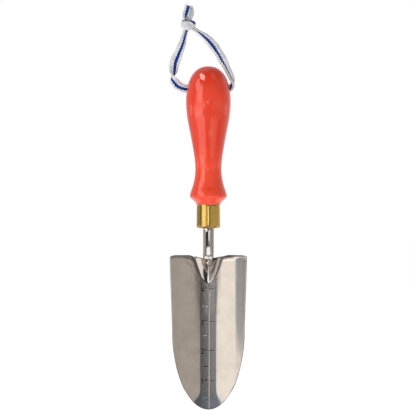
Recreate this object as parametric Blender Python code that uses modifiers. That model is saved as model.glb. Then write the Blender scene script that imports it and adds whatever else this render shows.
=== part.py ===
"""Hand trowel: turned and painted wooden handle, drawn brass ferrule, cranked
round steel stem whose tang runs up into the handle, pressed stainless steel
blade with a folded ridge that hugs the end of the stem, weld beads, and a
knotted hanging cord through the handle.

Units are metres.  +Z runs up the handle's axis, +X is to the right, and the
blade's hollow face looks forward, towards -Y.  The origin is on the handle's
axis, level with the blade's tip, so z is also the planting depth.
"""
import bpy
import bmesh
from math import sin, cos, tan, pi, sqrt, atan, radians
from mathutils import Vector

MM = 0.001
GAP = 0.3 * MM                  # clearance between neighbouring pieces

# ------------------------------------------------------- handle (turned wood)
# "down" is measured from the handle's top
HANDLE_TOP_Z = 284.8 * MM
DOME_DEPTH = 29.6 * MM          # top of the dome down to the widest point
BULGE_R = 18.6 * MM             # widest radius
DOME_POWER = 2.3                # superellipse exponent of the dome
COLLAR_R = 15.35 * MM
COLLAR_DOWN = 107.3 * MM
FOOT_R = 9.9 * MM               # foot of the collar, on the ferrule's mouth
FOOT_DOWN = 114.7 * MM
FOOT_Z = HANDLE_TOP_Z - FOOT_DOWN
# grip between the widest point and the collar: (down, radius)
GRIP = (
    (DOME_DEPTH, BULGE_R),
    (40.3 * MM, 17.85 * MM),
    (50.2 * MM, 16.15 * MM),
    (60.1 * MM, 14.20 * MM),
    (70.1 * MM, 12.45 * MM),
    (77.5 * MM, 11.35 * MM),
    (85.5 * MM, 10.84 * MM),
    (92.4 * MM, 11.50 * MM),
    (99.9 * MM, 13.30 * MM),
    (104.0 * MM, 14.70 * MM),
    (COLLAR_DOWN, COLLAR_R),
)
TENON_R = 8.50 * MM             # spigot that the ferrule is driven over
TENON_BOTTOM_Z = 153.4 * MM
TENON_CHAMFER = 0.6 * MM
DOME_RINGS = 12
DOME_RING_POWER = 1.25          # above 1 draws the rings closer to the top
GRIP_RINGS = 17
FOOT_RINGS = 5
TURN_STEPS = 48                 # segments round the handle and the ferrule

BORE_END_GAP = 1.2 * MM         # room above the tang's tip
BORE_OVERRUN = 5 * MM           # the bore's cutter runs this far below the tenon
BORE_STEPS = 24

# hole for the cord, across the handle along X
CORD_HOLE_Z = 266.0 * MM
CORD_HOLE_R = 4.2 * MM
CORD_HOLE_MOUTH_R = 5.9 * MM
MOUTH_STRETCH = 1.6             # length of a mouth's rounding over its width
MOUTH_PROUD = 0.9 * MM          # the rounding starts this far off the wood
HOLE_REACH = 26 * MM            # half length of the hole's cutter
HOLE_HEAD_EXTRA = 1.5 * MM      # the cutter's heads are this much wider
MOUTH_RINGS = 4
HOLE_STEPS = 20

# ------------------------------------------------- ferrule (drawn brass cup)
FERRULE_TOP_Z = FOOT_Z - GAP
FERRULE_BOTTOM_Z = 150.5 * MM
FERRULE_TOP_R = 9.65 * MM
FERRULE_NECK_R = FERRULE_TOP_R + 0.02 * MM
FERRULE_NECK_Z = FERRULE_TOP_Z - 4 * MM
FERRULE_LOW_R = 9.80 * MM
FERRULE_LOW_Z = FERRULE_BOTTOM_Z + 5 * MM
FERRULE_WALL = 0.8 * MM
FERRULE_EYE_R = 4.85 * MM       # hole that the stem passes through
FERRULE_BORE_R = FERRULE_LOW_R - FERRULE_WALL - 0.15 * MM
# rounding of the bottom corner: (radial width, height)
CORNER_OUTER = (3.6 * MM, 2.0 * MM)
CORNER_INNER = (CORNER_OUTER[0] - 0.5 * MM, CORNER_OUTER[1] - 0.3 * MM)
CORNER_RINGS = 6

# --------------------------------------------- stem (round bar) with its tang
STEM_R = 4.5 * MM
TANG_TOP_Z = 226.0 * MM
TANG_TIP_R = 2.6 * MM
TANG_TAPER_Z = 172.0 * MM       # the tang tapers above this height
FERRULE_ENTRY_Z = 156 * MM      # path point just above the ferrule's eye
LEAN_TOP_Z = 151.5 * MM         # the bar starts to lean back here
LEAN = radians(18.0)            # lean of the neck under the ferrule
CRANK_MAX_LEAN = radians(60)    # upper limit when seeking the steepest lean
CRANK_LOW_Z = 123.8 * MM        # the crank ends here, behind the ridge
CRANK_END_LEAN = radians(9.0)
CRANK_POINTS = 19
CRANK_SUBSTEPS = 10             # integration steps per path point
STEM_END_Z = 110.5 * MM
STEM_END_R = 2.2 * MM
STEM_END_POWER = 1.3            # shape of the end's taper
STEM_END_POINTS = 5
STEM_CLEAR = GAP + 0.35 * MM    # between the stem and the back of the ridge
STEM_RESOLUTION = 8

# --------------------------------------------- blade (pressed stainless sheet)
SHEET = 1.5 * MM
PAN_Y = 8.0 * MM                # front of the flat centre strip
STRIP_HALF = 4.0 * MM           # half width of the flat centre strip
DISH_RATE = 27.3                # slope of the pan per metre off centre
DISH_FULL = 9.0 * MM            # the pan's full curve starts here
TIP_RISE = 66.0 * MM            # height of the elliptical nose
NOSE_HALF = 30.3 * MM           # half width of the elliptical nose
FLARE = 0.0328                  # widening per metre above the nose
FLARE_BLEND = 10 * MM           # the flare fades in this far either side
NOSE_FLAT = 0.5                 # the pan is this much flatter at the tip
NOSE_FLAT_Z = 18.0 * MM         # and reaches its full depth at this height
NOSE_FLAT_LEN = 12.0 * MM
SHOULDER_Z = 128.6 * MM
SHOULDER_RAMP = 5 * MM          # the top edge climbs to it over this width
CORNER_Z = 126.6 * MM
CORNER_START_X = 26 * MM        # the top edge drops outside this
CORNER_WIDTH = 6.3 * MM
RIDGE_EDGE_Z = 127.4 * MM       # top edge where the ridge starts
RIDGE_CREST_Z = 124.6 * MM      # top edge on the crest
RIDGE_EDGE_POWER = 1.2          # shape of the top edge's dip at the ridge
RIDGE_APEX_Z = 105.1 * MM
RIDGE_HALF = 11.6 * MM          # half width of the ridge at the top edge
RIDGE_SPREAD_POWER = 0.6        # how the ridge widens above its apex
RIDGE_RISE = 0.43               # height gained per metre above the apex
RIDGE_POWER = 1.5               # shape of the ridge's cross section
ROLL = 1.2 * MM                 # the shoulders' edge is rolled back this far
ROLL_LEN = 4.0 * MM
ROLL_RAMP = 4 * MM              # the roll grows over this width
SLOPE_STEP = 0.05 * MM          # for measuring the surface's slope

# mesh grid: columns as shares of the half width, rows as shares of the height
SIDE_START_Z = 20.0 * MM        # the outermost columns start here
HALF_COLUMNS = (0.064, 0.128, 0.195, 0.27, 0.35, 0.44, 0.54, 0.64, 0.74, 0.84, 0.93, 1.0)
LOW_ROWS = 17
TOP_ROWS = 13
KNEE = 0.80                     # rows are closer above this share

# depth scale, V grooves in the front of the blade
INCH = 25.4 * MM
SCALE_PITCH = 0.985 * INCH
SCALE_FIRST_Z = 24.7 * MM       # the first full mark above the tip
SCALE_MARKS = 4
SCALE_LINE_X = 0.4 * MM         # the upright line
SCALE_LINE_START_Z = 1.2 * MM
SCALE_LINE_SHORT = 1 * MM       # it stops this far below the last mark
MARK_START = 1.2 * MM           # marks start this far from the line
FULL_MARK_END = 4.1 * MM        # full marks, on the right
HALF_MARK_END = 5.6 * MM        # marks half a pitch lower, on the left
GROOVE_W = 0.8 * MM
GROOVE_D = 0.2 * MM

# --------------------------------------------------------------------- welds
BEAD_R = 1.0 * MM
BEAD_END = 0.72                 # share of the radius left at a bead's ends
BEAD_GAP = GAP + 0.1 * MM
BEAD_RESOLUTION = 3
FRONT_BEAD_HALF = 3.6 * MM
FRONT_BEAD_LIFT = GAP + 0.75 * MM
FRONT_BEAD_STEPS = 5            # either side of the middle
SIDE_BEAD_TOP_Z = 122.6 * MM
SIDE_BEAD_LOW_Z = 112.6 * MM
SIDE_BEAD_STEPS = 6
LEAN_PROBE = 1 * MM             # the stem's lean is measured this far up and down

# ------------------------------------------------------- cord, an oval braid
CORD_HALF_W = 2.5 * MM
CORD_HALF_T = 1.3 * MM
CORD_SIDES = 10
CORD_STEP = 2.6 * MM            # spacing of the points along the loop
TAIL_STEP = 3.0 * MM
MIN_SPACING = 0.5 * MM          # closer points are dropped
CORD_SPLIT_Z = 291.5 * MM       # where the loop bends over the handle's top
SPLIT_GAP = 2.4 * MM            # both cord pieces stop this far from the split
# centre lines of the two strands, from the hole up to the knot: (x, y, z) in mm
LEFT_STRAND = (
    (0, 0, 266.0), (-12, 0, 266.0), (-18.0, 0, 266.0), (-23.6, 0.3, 267.4),
    (-27.2, 0.6, 271.2), (-28.8, 0.8, 275.8), (-29.4, 0.8, 281.0), (-28.6, 0.6, 287.5),
    (-26.9, 0.3, 291.5), (-25.4, 0.0, 295.2), (-22.5, -0.4, 302.4), (-20.6, -0.5, 309.8),
    (-17.8, 0, 317.0),
)
RIGHT_STRAND = (
    (0, 0, 266.0), (12, 0, 266.0), (16.6, 0, 266.0), (20.4, -0.2, 268.0),
    (21.0, -0.4, 272.0), (19.6, -0.6, 276.4), (17.0, -0.7, 280.6), (13.3, -0.6, 287.2),
    (10.9, -0.3, 291.5), (8.5, 0.0, 295.4), (3.8, 0.5, 301.6), (-2.0, 0.8, 307.3),
    (-7.8, 0.7, 313.1), (-14.0, 0, 317.6),
)
# centre lines of the cord's two ends above the knot: (x, y, z) in mm
TAILS = (
    ((-17.2, 0.6, 320.5), (-18.2, 0.8, 326.0), (-18.8, 0.6, 330.5), (-18.9, 0.3, 334.9)),
    ((-15.6, -0.4, 320.5), (-14.6, -0.6, 325.5), (-13.9, -0.5, 329.5), (-13.6, -0.3, 333.6)),
)
KNOT_CENTRE = (-16.9 * MM, 0.0, 319.6 * MM)
KNOT_HALF = (5.7 * MM, 4.2 * MM, 4.5 * MM)

# -------------------------------------------------------------------- set-up
for old in list(bpy.data.objects):
    bpy.data.objects.remove(old, do_unlink=True)


def new_collection(name):
    collection = bpy.data.collections.new(name)
    bpy.context.scene.collection.children.link(collection)
    return collection


PARTS = new_collection("hand_trowel")
CUTTERS = new_collection("cutters")


def make_material(name, rgb, roughness, metallic):
    material = bpy.data.materials.new(name)
    material.use_nodes = True
    shader = material.node_tree.nodes["Principled BSDF"]
    shader.inputs["Base Color"].default_value = (*rgb, 1.0)
    shader.inputs["Roughness"].default_value = roughness
    shader.inputs["Metallic"].default_value = metallic
    material.diffuse_color = (*rgb, 1.0)
    return material


PAINT = make_material("painted_wood", rgb=(0.905, 0.088, 0.045), roughness=0.22, metallic=0.0)
BRASS = make_material("brass", rgb=(0.80, 0.56, 0.22), roughness=0.18, metallic=1.0)
STEEL = make_material("stainless_bar", rgb=(0.66, 0.64, 0.61), roughness=0.12, metallic=1.0)
SHEET_STEEL = make_material("stainless_sheet", rgb=(0.64, 0.62, 0.59),
                            roughness=0.10, metallic=1.0)
WELD = make_material("weld_metal", rgb=(0.50, 0.48, 0.46), roughness=0.35, metallic=1.0)
BRAID = make_material("cotton_braid", rgb=(0.82, 0.84, 0.88), roughness=0.85, metallic=0.0)


# ------------------------------------------------------------- shared helpers
def link_helper(obj):
    """Put a helper among the cutters, out of the render."""
    CUTTERS.objects.link(obj)
    obj.hide_render = True
    obj.display_type = 'WIRE'


def add_object(name, data, material=None):
    """A piece in its material, or a hidden helper if there is none."""
    obj = bpy.data.objects.new(name, data)
    if material is None:
        link_helper(obj)
    else:
        PARTS.objects.link(obj)
        data.materials.append(material)
    return obj


def smooth(mesh, angle=35.0):
    mesh.shade_smooth()
    mesh.set_sharp_from_angle(angle=radians(angle))


def turned(name, profile, material=None, steps=TURN_STEPS, closed=False):
    """Spin an (r, z) outline about Z."""
    edges = [(k, k + 1) for k in range(len(profile) - 1)]
    if closed:
        edges.append((len(profile) - 1, 0))
    mesh = bpy.data.meshes.new(name)
    mesh.from_pydata([(r, 0.0, z) for r, z in profile], edges, [])
    obj = add_object(name, mesh, material)
    screw = obj.modifiers.new("Screw", 'SCREW')
    screw.axis = 'Z'
    screw.angle = 2 * pi
    screw.steps = steps
    screw.render_steps = steps
    screw.use_merge_vertices = True
    screw.merge_threshold = 1e-6
    screw.use_smooth_shade = True
    return obj


def combine(obj, other, operation='DIFFERENCE'):
    boolean = obj.modifiers.new(operation.title(), 'BOOLEAN')
    boolean.operation = operation
    boolean.solver = 'EXACT'
    boolean.object = other


def swept(name, points, material=None, radii=None, resolution=0, section=None):
    """Closed mesh swept along points: round with the given radii, or a section curve."""
    curve = bpy.data.curves.new(name + "_rod", 'CURVE')
    curve.dimensions = '3D'
    curve.fill_mode = 'FULL'
    curve.use_fill_caps = True
    curve.twist_mode = 'MINIMUM'
    if section is None:
        curve.bevel_depth = 1.0
        curve.bevel_resolution = resolution
    else:
        curve.bevel_mode = 'OBJECT'
        curve.bevel_object = section
    spline = curve.splines.new('POLY')
    spline.points.add(len(points) - 1)
    for k, point in enumerate(points):
        spline.points[k].co = (*point, 1.0)
        spline.points[k].radius = radii[k] if radii else 1.0
    rod = bpy.data.objects.new(name + "_rod", curve)
    PARTS.objects.link(rod)

    bpy.context.view_layer.update()
    depsgraph = bpy.context.evaluated_depsgraph_get()
    mesh = bpy.data.meshes.new_from_object(rod.evaluated_get(depsgraph))
    bm = bmesh.new()
    bm.from_mesh(mesh)
    bmesh.ops.remove_doubles(bm, verts=bm.verts[:], dist=1e-6)
    bmesh.ops.recalc_face_normals(bm, faces=bm.faces[:])
    bm.to_mesh(mesh)
    bm.free()
    bpy.data.objects.remove(rod, do_unlink=True)
    return add_object(name, mesh, material)


def spline_through(points_mm, step):
    """Catmull-Rom curve through points in mm, one point about every step."""
    knots = [Vector(point) * MM for point in points_mm]
    knots = [2 * knots[0] - knots[1]] + knots + [2 * knots[-1] - knots[-2]]
    line = []
    for before, start, end, after in zip(knots, knots[1:], knots[2:], knots[3:]):
        count = max(1, round((end - start).length / step))
        for k in range(count):
            t = k / count
            line.append(0.5 * ((2 * start) + (end - before) * t
                               + (2 * before - 5 * start + 4 * end - after) * t * t
                               + (3 * start - before - 3 * end + after) * t ** 3))
    line.append(knots[-2])
    return line


def through_table(table, x):
    """Smooth monotone curve through a small table of (x, y), level at both ends."""
    rises = [(y1 - y0) / (x1 - x0) for (x0, y0), (x1, y1) in zip(table, table[1:])]
    slopes = [0.0]
    for rise, following in zip(rises, rises[1:]):
        turning = rise * following <= 0
        slopes.append(0.0 if turning else 2 * rise * following / (rise + following))
    slopes.append(0.0)
    k = 0
    while k < len(table) - 2 and x > table[k + 1][0]:
        k += 1
    (x0, y0), (x1, y1) = table[k:k + 2]
    width = x1 - x0
    t = min(1.0, max(0.0, (x - x0) / width))
    return ((2 * t ** 3 - 3 * t * t + 1) * y0 + (t ** 3 - 2 * t * t + t) * width * slopes[k]
            + (3 * t * t - 2 * t ** 3) * y1 + (t ** 3 - t * t) * width * slopes[k + 1])


def smoothstep(t):
    t = min(1.0, max(0.0, t))
    return t * t * (3 - 2 * t)


# -------------------------------------------------------------------- handle
def handle_radius(down):
    if down <= DOME_DEPTH:
        share = 1.0 - down / DOME_DEPTH
        return BULGE_R * (1.0 - share ** DOME_POWER) ** (1.0 / DOME_POWER)
    if down <= COLLAR_DOWN:
        return through_table(GRIP, down)
    share = (down - COLLAR_DOWN) / (FOOT_DOWN - COLLAR_DOWN)
    return FOOT_R + (COLLAR_R - FOOT_R) * 0.5 * (1 + cos(pi * share))


def handle_profile():
    downs = [DOME_DEPTH * (1 - cos(0.5 * pi * k / DOME_RINGS)) ** DOME_RING_POWER
             for k in range(1, DOME_RINGS + 1)]
    downs += [DOME_DEPTH + (COLLAR_DOWN - DOME_DEPTH) * k / GRIP_RINGS
              for k in range(1, GRIP_RINGS + 1)]
    downs += [COLLAR_DOWN + (FOOT_DOWN - COLLAR_DOWN) * k / FOOT_RINGS
              for k in range(1, FOOT_RINGS + 1)]
    return ([(0.0, HANDLE_TOP_Z)]
            + [(handle_radius(down), HANDLE_TOP_Z - down) for down in downs]
            + [(TENON_R, FOOT_Z),
               (TENON_R, TENON_BOTTOM_Z + TENON_CHAMFER),
               (TENON_R - TENON_CHAMFER, TENON_BOTTOM_Z),
               (0.0, TENON_BOTTOM_Z)])


def build_bore_cutter():
    """Bore for the tang: follows its taper with a clearance, ends just above it."""
    top = TANG_TOP_Z + BORE_END_GAP
    bottom = TENON_BOTTOM_Z - BORE_OVERRUN
    return turned("bore_cutter", [
        (0.0, top),
        (TANG_TIP_R + GAP, top),
        (STEM_R + GAP, TANG_TAPER_Z),
        (STEM_R + GAP, bottom),
        (0.0, bottom)], steps=BORE_STEPS)


def build_hole_cutter():
    """Straight through the handle, with rounded mouths."""
    rounding = CORD_HOLE_MOUTH_R - CORD_HOLE_R
    head_r = CORD_HOLE_MOUTH_R + HOLE_HEAD_EXTRA
    mouth = handle_radius(HANDLE_TOP_Z - CORD_HOLE_Z) + MOUTH_PROUD
    outline = [(0.0, HOLE_REACH), (head_r, HOLE_REACH), (head_r, mouth)]
    for k in range(1, MOUTH_RINGS + 1):
        angle = 0.5 * pi * k / MOUTH_RINGS
        outline.append((CORD_HOLE_R + rounding * (1 - sin(angle)),
                        mouth - MOUTH_STRETCH * rounding * (1 - cos(angle))))
    outline += [(r, -z) for r, z in reversed(outline)]
    cutter = turned("cord_hole_cutter", outline, steps=HOLE_STEPS)
    cutter.rotation_euler = (0.0, pi / 2, 0.0)
    cutter.location = (0.0, 0.0, CORD_HOLE_Z)
    return cutter


def build_handle():
    handle = turned("handle", handle_profile(), PAINT)
    combine(handle, build_bore_cutter())
    combine(handle, build_hole_cutter())


# ------------------------------------------------------------------- ferrule
def corner_arc(radius, floor_z, size, rings):
    """Quarter ellipse from the wall (ring 0) in to the floor."""
    width, height = size
    angles = [0.5 * pi * k / CORNER_RINGS for k in rings]
    return [(radius - width * (1 - cos(angle)), floor_z + height * (1 - sin(angle)))
            for angle in angles]


def build_ferrule():
    floor_z = FERRULE_BOTTOM_Z + FERRULE_WALL
    profile = [(FERRULE_TOP_R, FERRULE_TOP_Z),
               (FERRULE_NECK_R, FERRULE_NECK_Z),
               (FERRULE_LOW_R, FERRULE_LOW_Z)]
    profile += corner_arc(FERRULE_LOW_R, FERRULE_BOTTOM_Z, CORNER_OUTER,
                          range(CORNER_RINGS + 1))
    profile += [(FERRULE_EYE_R, FERRULE_BOTTOM_Z), (FERRULE_EYE_R, floor_z)]
    profile += corner_arc(FERRULE_BORE_R, floor_z, CORNER_INNER,
                          range(CORNER_RINGS - 1, -1, -1))
    profile.append((FERRULE_BORE_R, FERRULE_TOP_Z))
    turned("ferrule", profile, BRASS, closed=True)


# --------------------------------------------------------------------- blade
def dish(x):
    """How far the pan comes forward of its flat centre strip."""
    off = abs(x)
    if off <= STRIP_HALF:
        return 0.0
    full_slope = DISH_RATE * DISH_FULL
    width = DISH_FULL - STRIP_HALF
    if off <= DISH_FULL:
        t = (off - STRIP_HALF) / width
        return full_slope * width * (t ** 3 - 0.5 * t ** 4)
    return full_slope * width * 0.5 + 0.5 * DISH_RATE * (off * off - DISH_FULL ** 2)


def dish_slope(x):
    off = abs(x)
    if off <= DISH_FULL:
        return DISH_RATE * DISH_FULL * smoothstep((off - STRIP_HALF) / (DISH_FULL - STRIP_HALF))
    return DISH_RATE * off


def nose(z):
    """Share of the pan's full depth at this height."""
    return 1.0 - NOSE_FLAT * smoothstep((NOSE_FLAT_Z - z) / NOSE_FLAT_LEN)


def ridge(x, z):
    """Height of the folded ridge, forward of the pan."""
    share = (z - RIDGE_APEX_Z) / (RIDGE_EDGE_Z - RIDGE_APEX_Z)
    if share <= 0:
        return 0.0
    half = RIDGE_HALF * share ** RIDGE_SPREAD_POWER
    if abs(x) >= half:
        return 0.0
    return RIDGE_RISE * (z - RIDGE_APEX_Z) * (1 - abs(x) / half) ** RIDGE_POWER


def top_edge(x):
    """Height of the blade's top edge."""
    off = abs(x)
    if off <= RIDGE_HALF:
        dip = (off / RIDGE_HALF) ** RIDGE_EDGE_POWER
        return RIDGE_CREST_Z + (RIDGE_EDGE_Z - RIDGE_CREST_Z) * dip
    z = RIDGE_EDGE_Z + (SHOULDER_Z - RIDGE_EDGE_Z) * smoothstep((off - RIDGE_HALF) / SHOULDER_RAMP)
    if off > CORNER_START_X:
        z -= (SHOULDER_Z - CORNER_Z) * ((off - CORNER_START_X) / CORNER_WIDTH) ** 3
    return z


def blade_front(x, z):
    y = PAN_Y - dish(x) * nose(z) - ridge(x, z)
    if abs(x) > RIDGE_HALF:
        share = 1 - (top_edge(x) - z) / ROLL_LEN
        side = min(1.0, (abs(x) - RIDGE_HALF) / ROLL_RAMP)
        if share > 0:
            y += ROLL * side * min(1.0, share) ** 2
    return y


def slant(x, z):
    """Length along Y over the distance square to the blade's face."""
    step = SLOPE_STEP
    slope_x = (blade_front(x + step, z) - blade_front(x - step, z)) / (2 * step)
    slope_z = (blade_front(x, z + step) - blade_front(x, z - step)) / (2 * step)
    return sqrt(1 + slope_x * slope_x + slope_z * slope_z)


def blade_back(x, z):
    return blade_front(x, z) + SHEET * slant(x, z)


def outline_half(z):
    """Half width of the blade's outline, over its whole thickness."""
    half = NOSE_HALF
    if z < TIP_RISE:
        half *= sqrt(1 - (1 - z / TIP_RISE) ** 2)
    if z > TIP_RISE + FLARE_BLEND:
        half += FLARE * (z - TIP_RISE)
    elif z > TIP_RISE - FLARE_BLEND:
        half += FLARE * (z - TIP_RISE + FLARE_BLEND) ** 2 / (4 * FLARE_BLEND)
    return half


def front_half(z):
    """Half width of the front face: the sheet leans outwards behind it."""
    half = outline_half(z)
    return half - SHEET * sin(atan(dish_slope(half) * nose(z)))


def height_of_half(half):
    """Height at which the front face first gets this half width."""
    low, high = 0.0, TIP_RISE
    for _ in range(50):
        middle = 0.5 * (low + high)
        if front_half(middle) < half:
            low = middle
        else:
            high = middle
    return 0.5 * (low + high)


def add_blade_grid(bm):
    """The front face, as a grid of quads."""
    columns = [-share for share in reversed(HALF_COLUMNS)] + [0.0] + list(HALF_COLUMNS)
    rows = [KNEE * k / LOW_ROWS for k in range(LOW_ROWS)]
    rows += [KNEE + (1 - KNEE) * k / TOP_ROWS for k in range(TOP_ROWS + 1)]
    side_top = top_edge(outline_half(CORNER_Z))
    ends = [(height_of_half(abs(column) * front_half(SIDE_START_Z)),
             top_edge(column * front_half(side_top))) for column in columns]
    grid = []
    for row in rows:
        half = front_half(SIDE_START_Z + (side_top - SIDE_START_Z) * row)
        line = []
        for column, (z_low, z_high) in zip(columns, ends):
            x = column * half
            z = z_low + (z_high - z_low) * row
            line.append(bm.verts.new((x, blade_front(x, z), z)))
        grid.append(line)
    for lower, upper in zip(grid, grid[1:]):
        for k in range(len(columns) - 1):
            bm.faces.new((lower[k], lower[k + 1], upper[k + 1], upper[k]))


def add_groove(bm, start, end):
    """Prism that cuts a V groove between two (x, z) points on the flat of the pan."""
    start, end = (Vector((x, 0.0, z)) for x, z in (start, end))
    side = (end - start).cross(Vector((0, 1, 0))).normalized() * GROOVE_W
    rings = []
    for point in (start, end):
        top = Vector((point.x, PAN_Y - GROOVE_D, point.z))
        rings.append([bm.verts.new(top + side), bm.verts.new(top - side),
                      bm.verts.new((point.x, PAN_Y + GROOVE_D, point.z))])
    first, last = rings
    for k in range(3):
        following = (k + 1) % 3
        bm.faces.new((first[k], first[following], last[following], last[k]))
    bm.faces.new(first)
    bm.faces.new(list(reversed(last)))


def build_scale_cutter():
    """One upright line with full marks to its right and half marks to its left."""
    bm = bmesh.new()
    line_top = SCALE_FIRST_Z + (SCALE_MARKS - 1) * SCALE_PITCH - SCALE_LINE_SHORT
    add_groove(bm, (SCALE_LINE_X, SCALE_LINE_START_Z), (SCALE_LINE_X, line_top))
    for k in range(SCALE_MARKS):
        z = SCALE_FIRST_Z + k * SCALE_PITCH
        half_z = z - 0.5 * SCALE_PITCH
        add_groove(bm, (SCALE_LINE_X + MARK_START, z), (SCALE_LINE_X + FULL_MARK_END, z))
        add_groove(bm, (SCALE_LINE_X - HALF_MARK_END, half_z),
                   (SCALE_LINE_X - MARK_START, half_z))
    bmesh.ops.recalc_face_normals(bm, faces=bm.faces[:])
    mesh = bpy.data.meshes.new("scale_cutter")
    bm.to_mesh(mesh)
    bm.free()
    return add_object("scale_cutter", mesh)


def build_blade():
    bm = bmesh.new()
    add_blade_grid(bm)
    # the faces must look forward, as the sheet is thickened behind them
    bmesh.ops.recalc_face_normals(bm, faces=bm.faces[:])
    bm.faces.ensure_lookup_table()
    if bm.faces[len(bm.faces) // 2].normal.y > 0:
        bmesh.ops.reverse_faces(bm, faces=bm.faces[:])
    mesh = bpy.data.meshes.new("blade")
    bm.to_mesh(mesh)
    bm.free()
    smooth(mesh, 30)
    blade = add_object("blade", mesh, SHEET_STEEL)
    solidify = blade.modifiers.new("Solidify", 'SOLIDIFY')
    solidify.thickness = SHEET
    solidify.offset = -1.0
    solidify.use_even_offset = True
    solidify.use_quality_normals = True
    combine(blade, build_scale_cutter())


# ---------------------------------------------------------------------- stem
def seat(z, radius):
    """Nearest the stem's axis can come to the back of the ridge at z."""
    across = [0.98 * radius * k / 40 for k in range(41)]
    return max(blade_back(x, z) + sqrt(radius * radius - x * x) for x in across)


def stem_radius(z):
    if z < CRANK_LOW_Z:
        share = (CRANK_LOW_Z - z) / (CRANK_LOW_Z - STEM_END_Z)
        return STEM_R + (STEM_END_R - STEM_R) * share ** STEM_END_POWER
    if z <= TANG_TAPER_Z:
        return STEM_R
    return STEM_R + (TANG_TIP_R - STEM_R) * (z - TANG_TAPER_Z) / (TANG_TOP_Z - TANG_TAPER_Z)


def crank_line(steep):
    """(y, z) of the stem's axis from the ferrule down to behind the ridge."""
    bend = LEAN + 0.4 * (steep - LEAN)
    # (distance below the start of the lean, lean)
    leans = ((0.0, 0.0), (3.0 * MM, 0.9 * LEAN), (9.5 * MM, 1.05 * LEAN),
             (13.0 * MM, bend), (16.5 * MM, steep), (20.0 * MM, steep),
             (23.5 * MM, bend), (LEAN_TOP_Z - CRANK_LOW_Z, CRANK_END_LEAN))
    steps = CRANK_POINTS * CRANK_SUBSTEPS
    drop = (LEAN_TOP_Z - CRANK_LOW_Z) / steps
    line = []
    y = 0.0
    for k in range(1, steps + 1):
        y += tan(through_table(leans, (k - 0.5) * drop)) * drop
        if k % CRANK_SUBSTEPS == 0:
            line.append((y, LEAN_TOP_Z - k * drop))
    return line


def stem_path():
    """(y, z) of the stem's axis, from the tang's tip down to the end on the blade."""
    path = [(0.0, z) for z in (TANG_TOP_Z, 0.5 * (TANG_TOP_Z + TANG_TAPER_Z),
                               TANG_TAPER_Z, FERRULE_ENTRY_Z, LEAN_TOP_Z)]
    # halve in on the steepest lean that just reaches the back of the ridge
    reach = seat(RIDGE_CREST_Z, STEM_R) + STEM_CLEAR
    low, high = LEAN, CRANK_MAX_LEAN
    for _ in range(30):
        steep = 0.5 * (low + high)
        line = crank_line(steep)
        if line[-1][0] < reach:
            low = steep
        else:
            high = steep
    path += line
    # the end lies in the hollow behind the ridge
    y = path[-1][0]
    for k in range(1, STEM_END_POINTS + 1):
        z = CRANK_LOW_Z + (STEM_END_Z - CRANK_LOW_Z) * k / STEM_END_POINTS
        y = max(y, seat(z, stem_radius(z)) + STEM_CLEAR)
        path.append((y, z))
    return path


STEM_PATH = stem_path()


def stem_axis_y(z):
    """The axis's y at a height between the stem's two ends."""
    for (y0, z0), (y1, z1) in zip(STEM_PATH, STEM_PATH[1:]):
        if z1 <= z <= z0:
            return y0 + (y1 - y0) * (z - z0) / (z1 - z0)


def build_stem():
    stem = swept("stem", [(0.0, y, z) for y, z in STEM_PATH], STEEL,
                 radii=[stem_radius(z) for _, z in STEM_PATH], resolution=STEM_RESOLUTION)
    smooth(stem.data)


# --------------------------------------------------------------------- welds
def front_bead_path():
    """Along the ridge's top edge, against the front of the stem."""
    reach = STEM_R + BEAD_R + BEAD_GAP
    path = []
    for k in range(-FRONT_BEAD_STEPS, FRONT_BEAD_STEPS + 1):
        x = FRONT_BEAD_HALF * k / FRONT_BEAD_STEPS
        z = top_edge(x) + BEAD_R + FRONT_BEAD_LIFT
        lean = (stem_axis_y(z - LEAN_PROBE) - stem_axis_y(z + LEAN_PROBE)) / (2 * LEAN_PROBE)
        y = stem_axis_y(z) - sqrt(reach ** 2 - x * x) * sqrt(1 + lean * lean)
        path.append((x, y, z))
    return path


def side_bead_path(side):
    """In the corner between the stem's side and the back of the blade."""
    path = []
    for k in range(SIDE_BEAD_STEPS + 1):
        z = SIDE_BEAD_TOP_Z + (SIDE_BEAD_LOW_Z - SIDE_BEAD_TOP_Z) * k / SIDE_BEAD_STEPS
        reach = stem_radius(z) + BEAD_R + BEAD_GAP
        # go round the stem from its front until the bead clears the blade
        for degrees in range(40, 175):
            x = reach * sin(radians(degrees))
            y = stem_axis_y(z) - reach * cos(radians(degrees))
            if (y - blade_back(x, z)) / slant(x, z) >= BEAD_R + BEAD_GAP:
                break
        path.append((side * x, y, z))
    return path


def build_weld(name, path):
    radii = [BEAD_R] * len(path)
    radii[0] = radii[-1] = BEAD_R * BEAD_END
    bead = swept(name, path, WELD, radii=radii, resolution=BEAD_RESOLUTION)
    smooth(bead.data, 60)


# ---------------------------------------------------------------------- cord
def build_cord_section():
    curve = bpy.data.curves.new("cord_section", 'CURVE')
    curve.dimensions = '2D'
    spline = curve.splines.new('POLY')
    spline.points.add(CORD_SIDES - 1)
    for k, point in enumerate(spline.points):
        angle = 2 * pi * (k + 0.5) / CORD_SIDES
        point.co = (CORD_HALF_T * sin(angle), CORD_HALF_W * cos(angle), 0.0, 1.0)
    spline.use_cyclic_u = True
    return add_object("cord_section", curve)


def part_of(points, low=0.0, high=1.0):
    """The stretch of a strand between two heights, cut exactly there.

    The default heights lie beyond both ends of the cord.
    """
    part = [points[0]] if low <= points[0].z <= high else []
    for start, end in zip(points, points[1:]):
        for level in (low, high):
            if (start.z - level) * (end.z - level) < 0:
                part.append(start.lerp(end, (level - start.z) / (end.z - start.z)))
        if low <= end.z <= high:
            part.append(end)
    return part[:1] + [point for before, point in zip(part, part[1:])
                       if (point - before).length > MIN_SPACING]


def set_origin(obj, point):
    """Move the object's origin to a world point without moving its shape."""
    move = Vector(point) - obj.location
    for vertex in obj.data.vertices:
        vertex.co -= move
    obj.location = point


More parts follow.
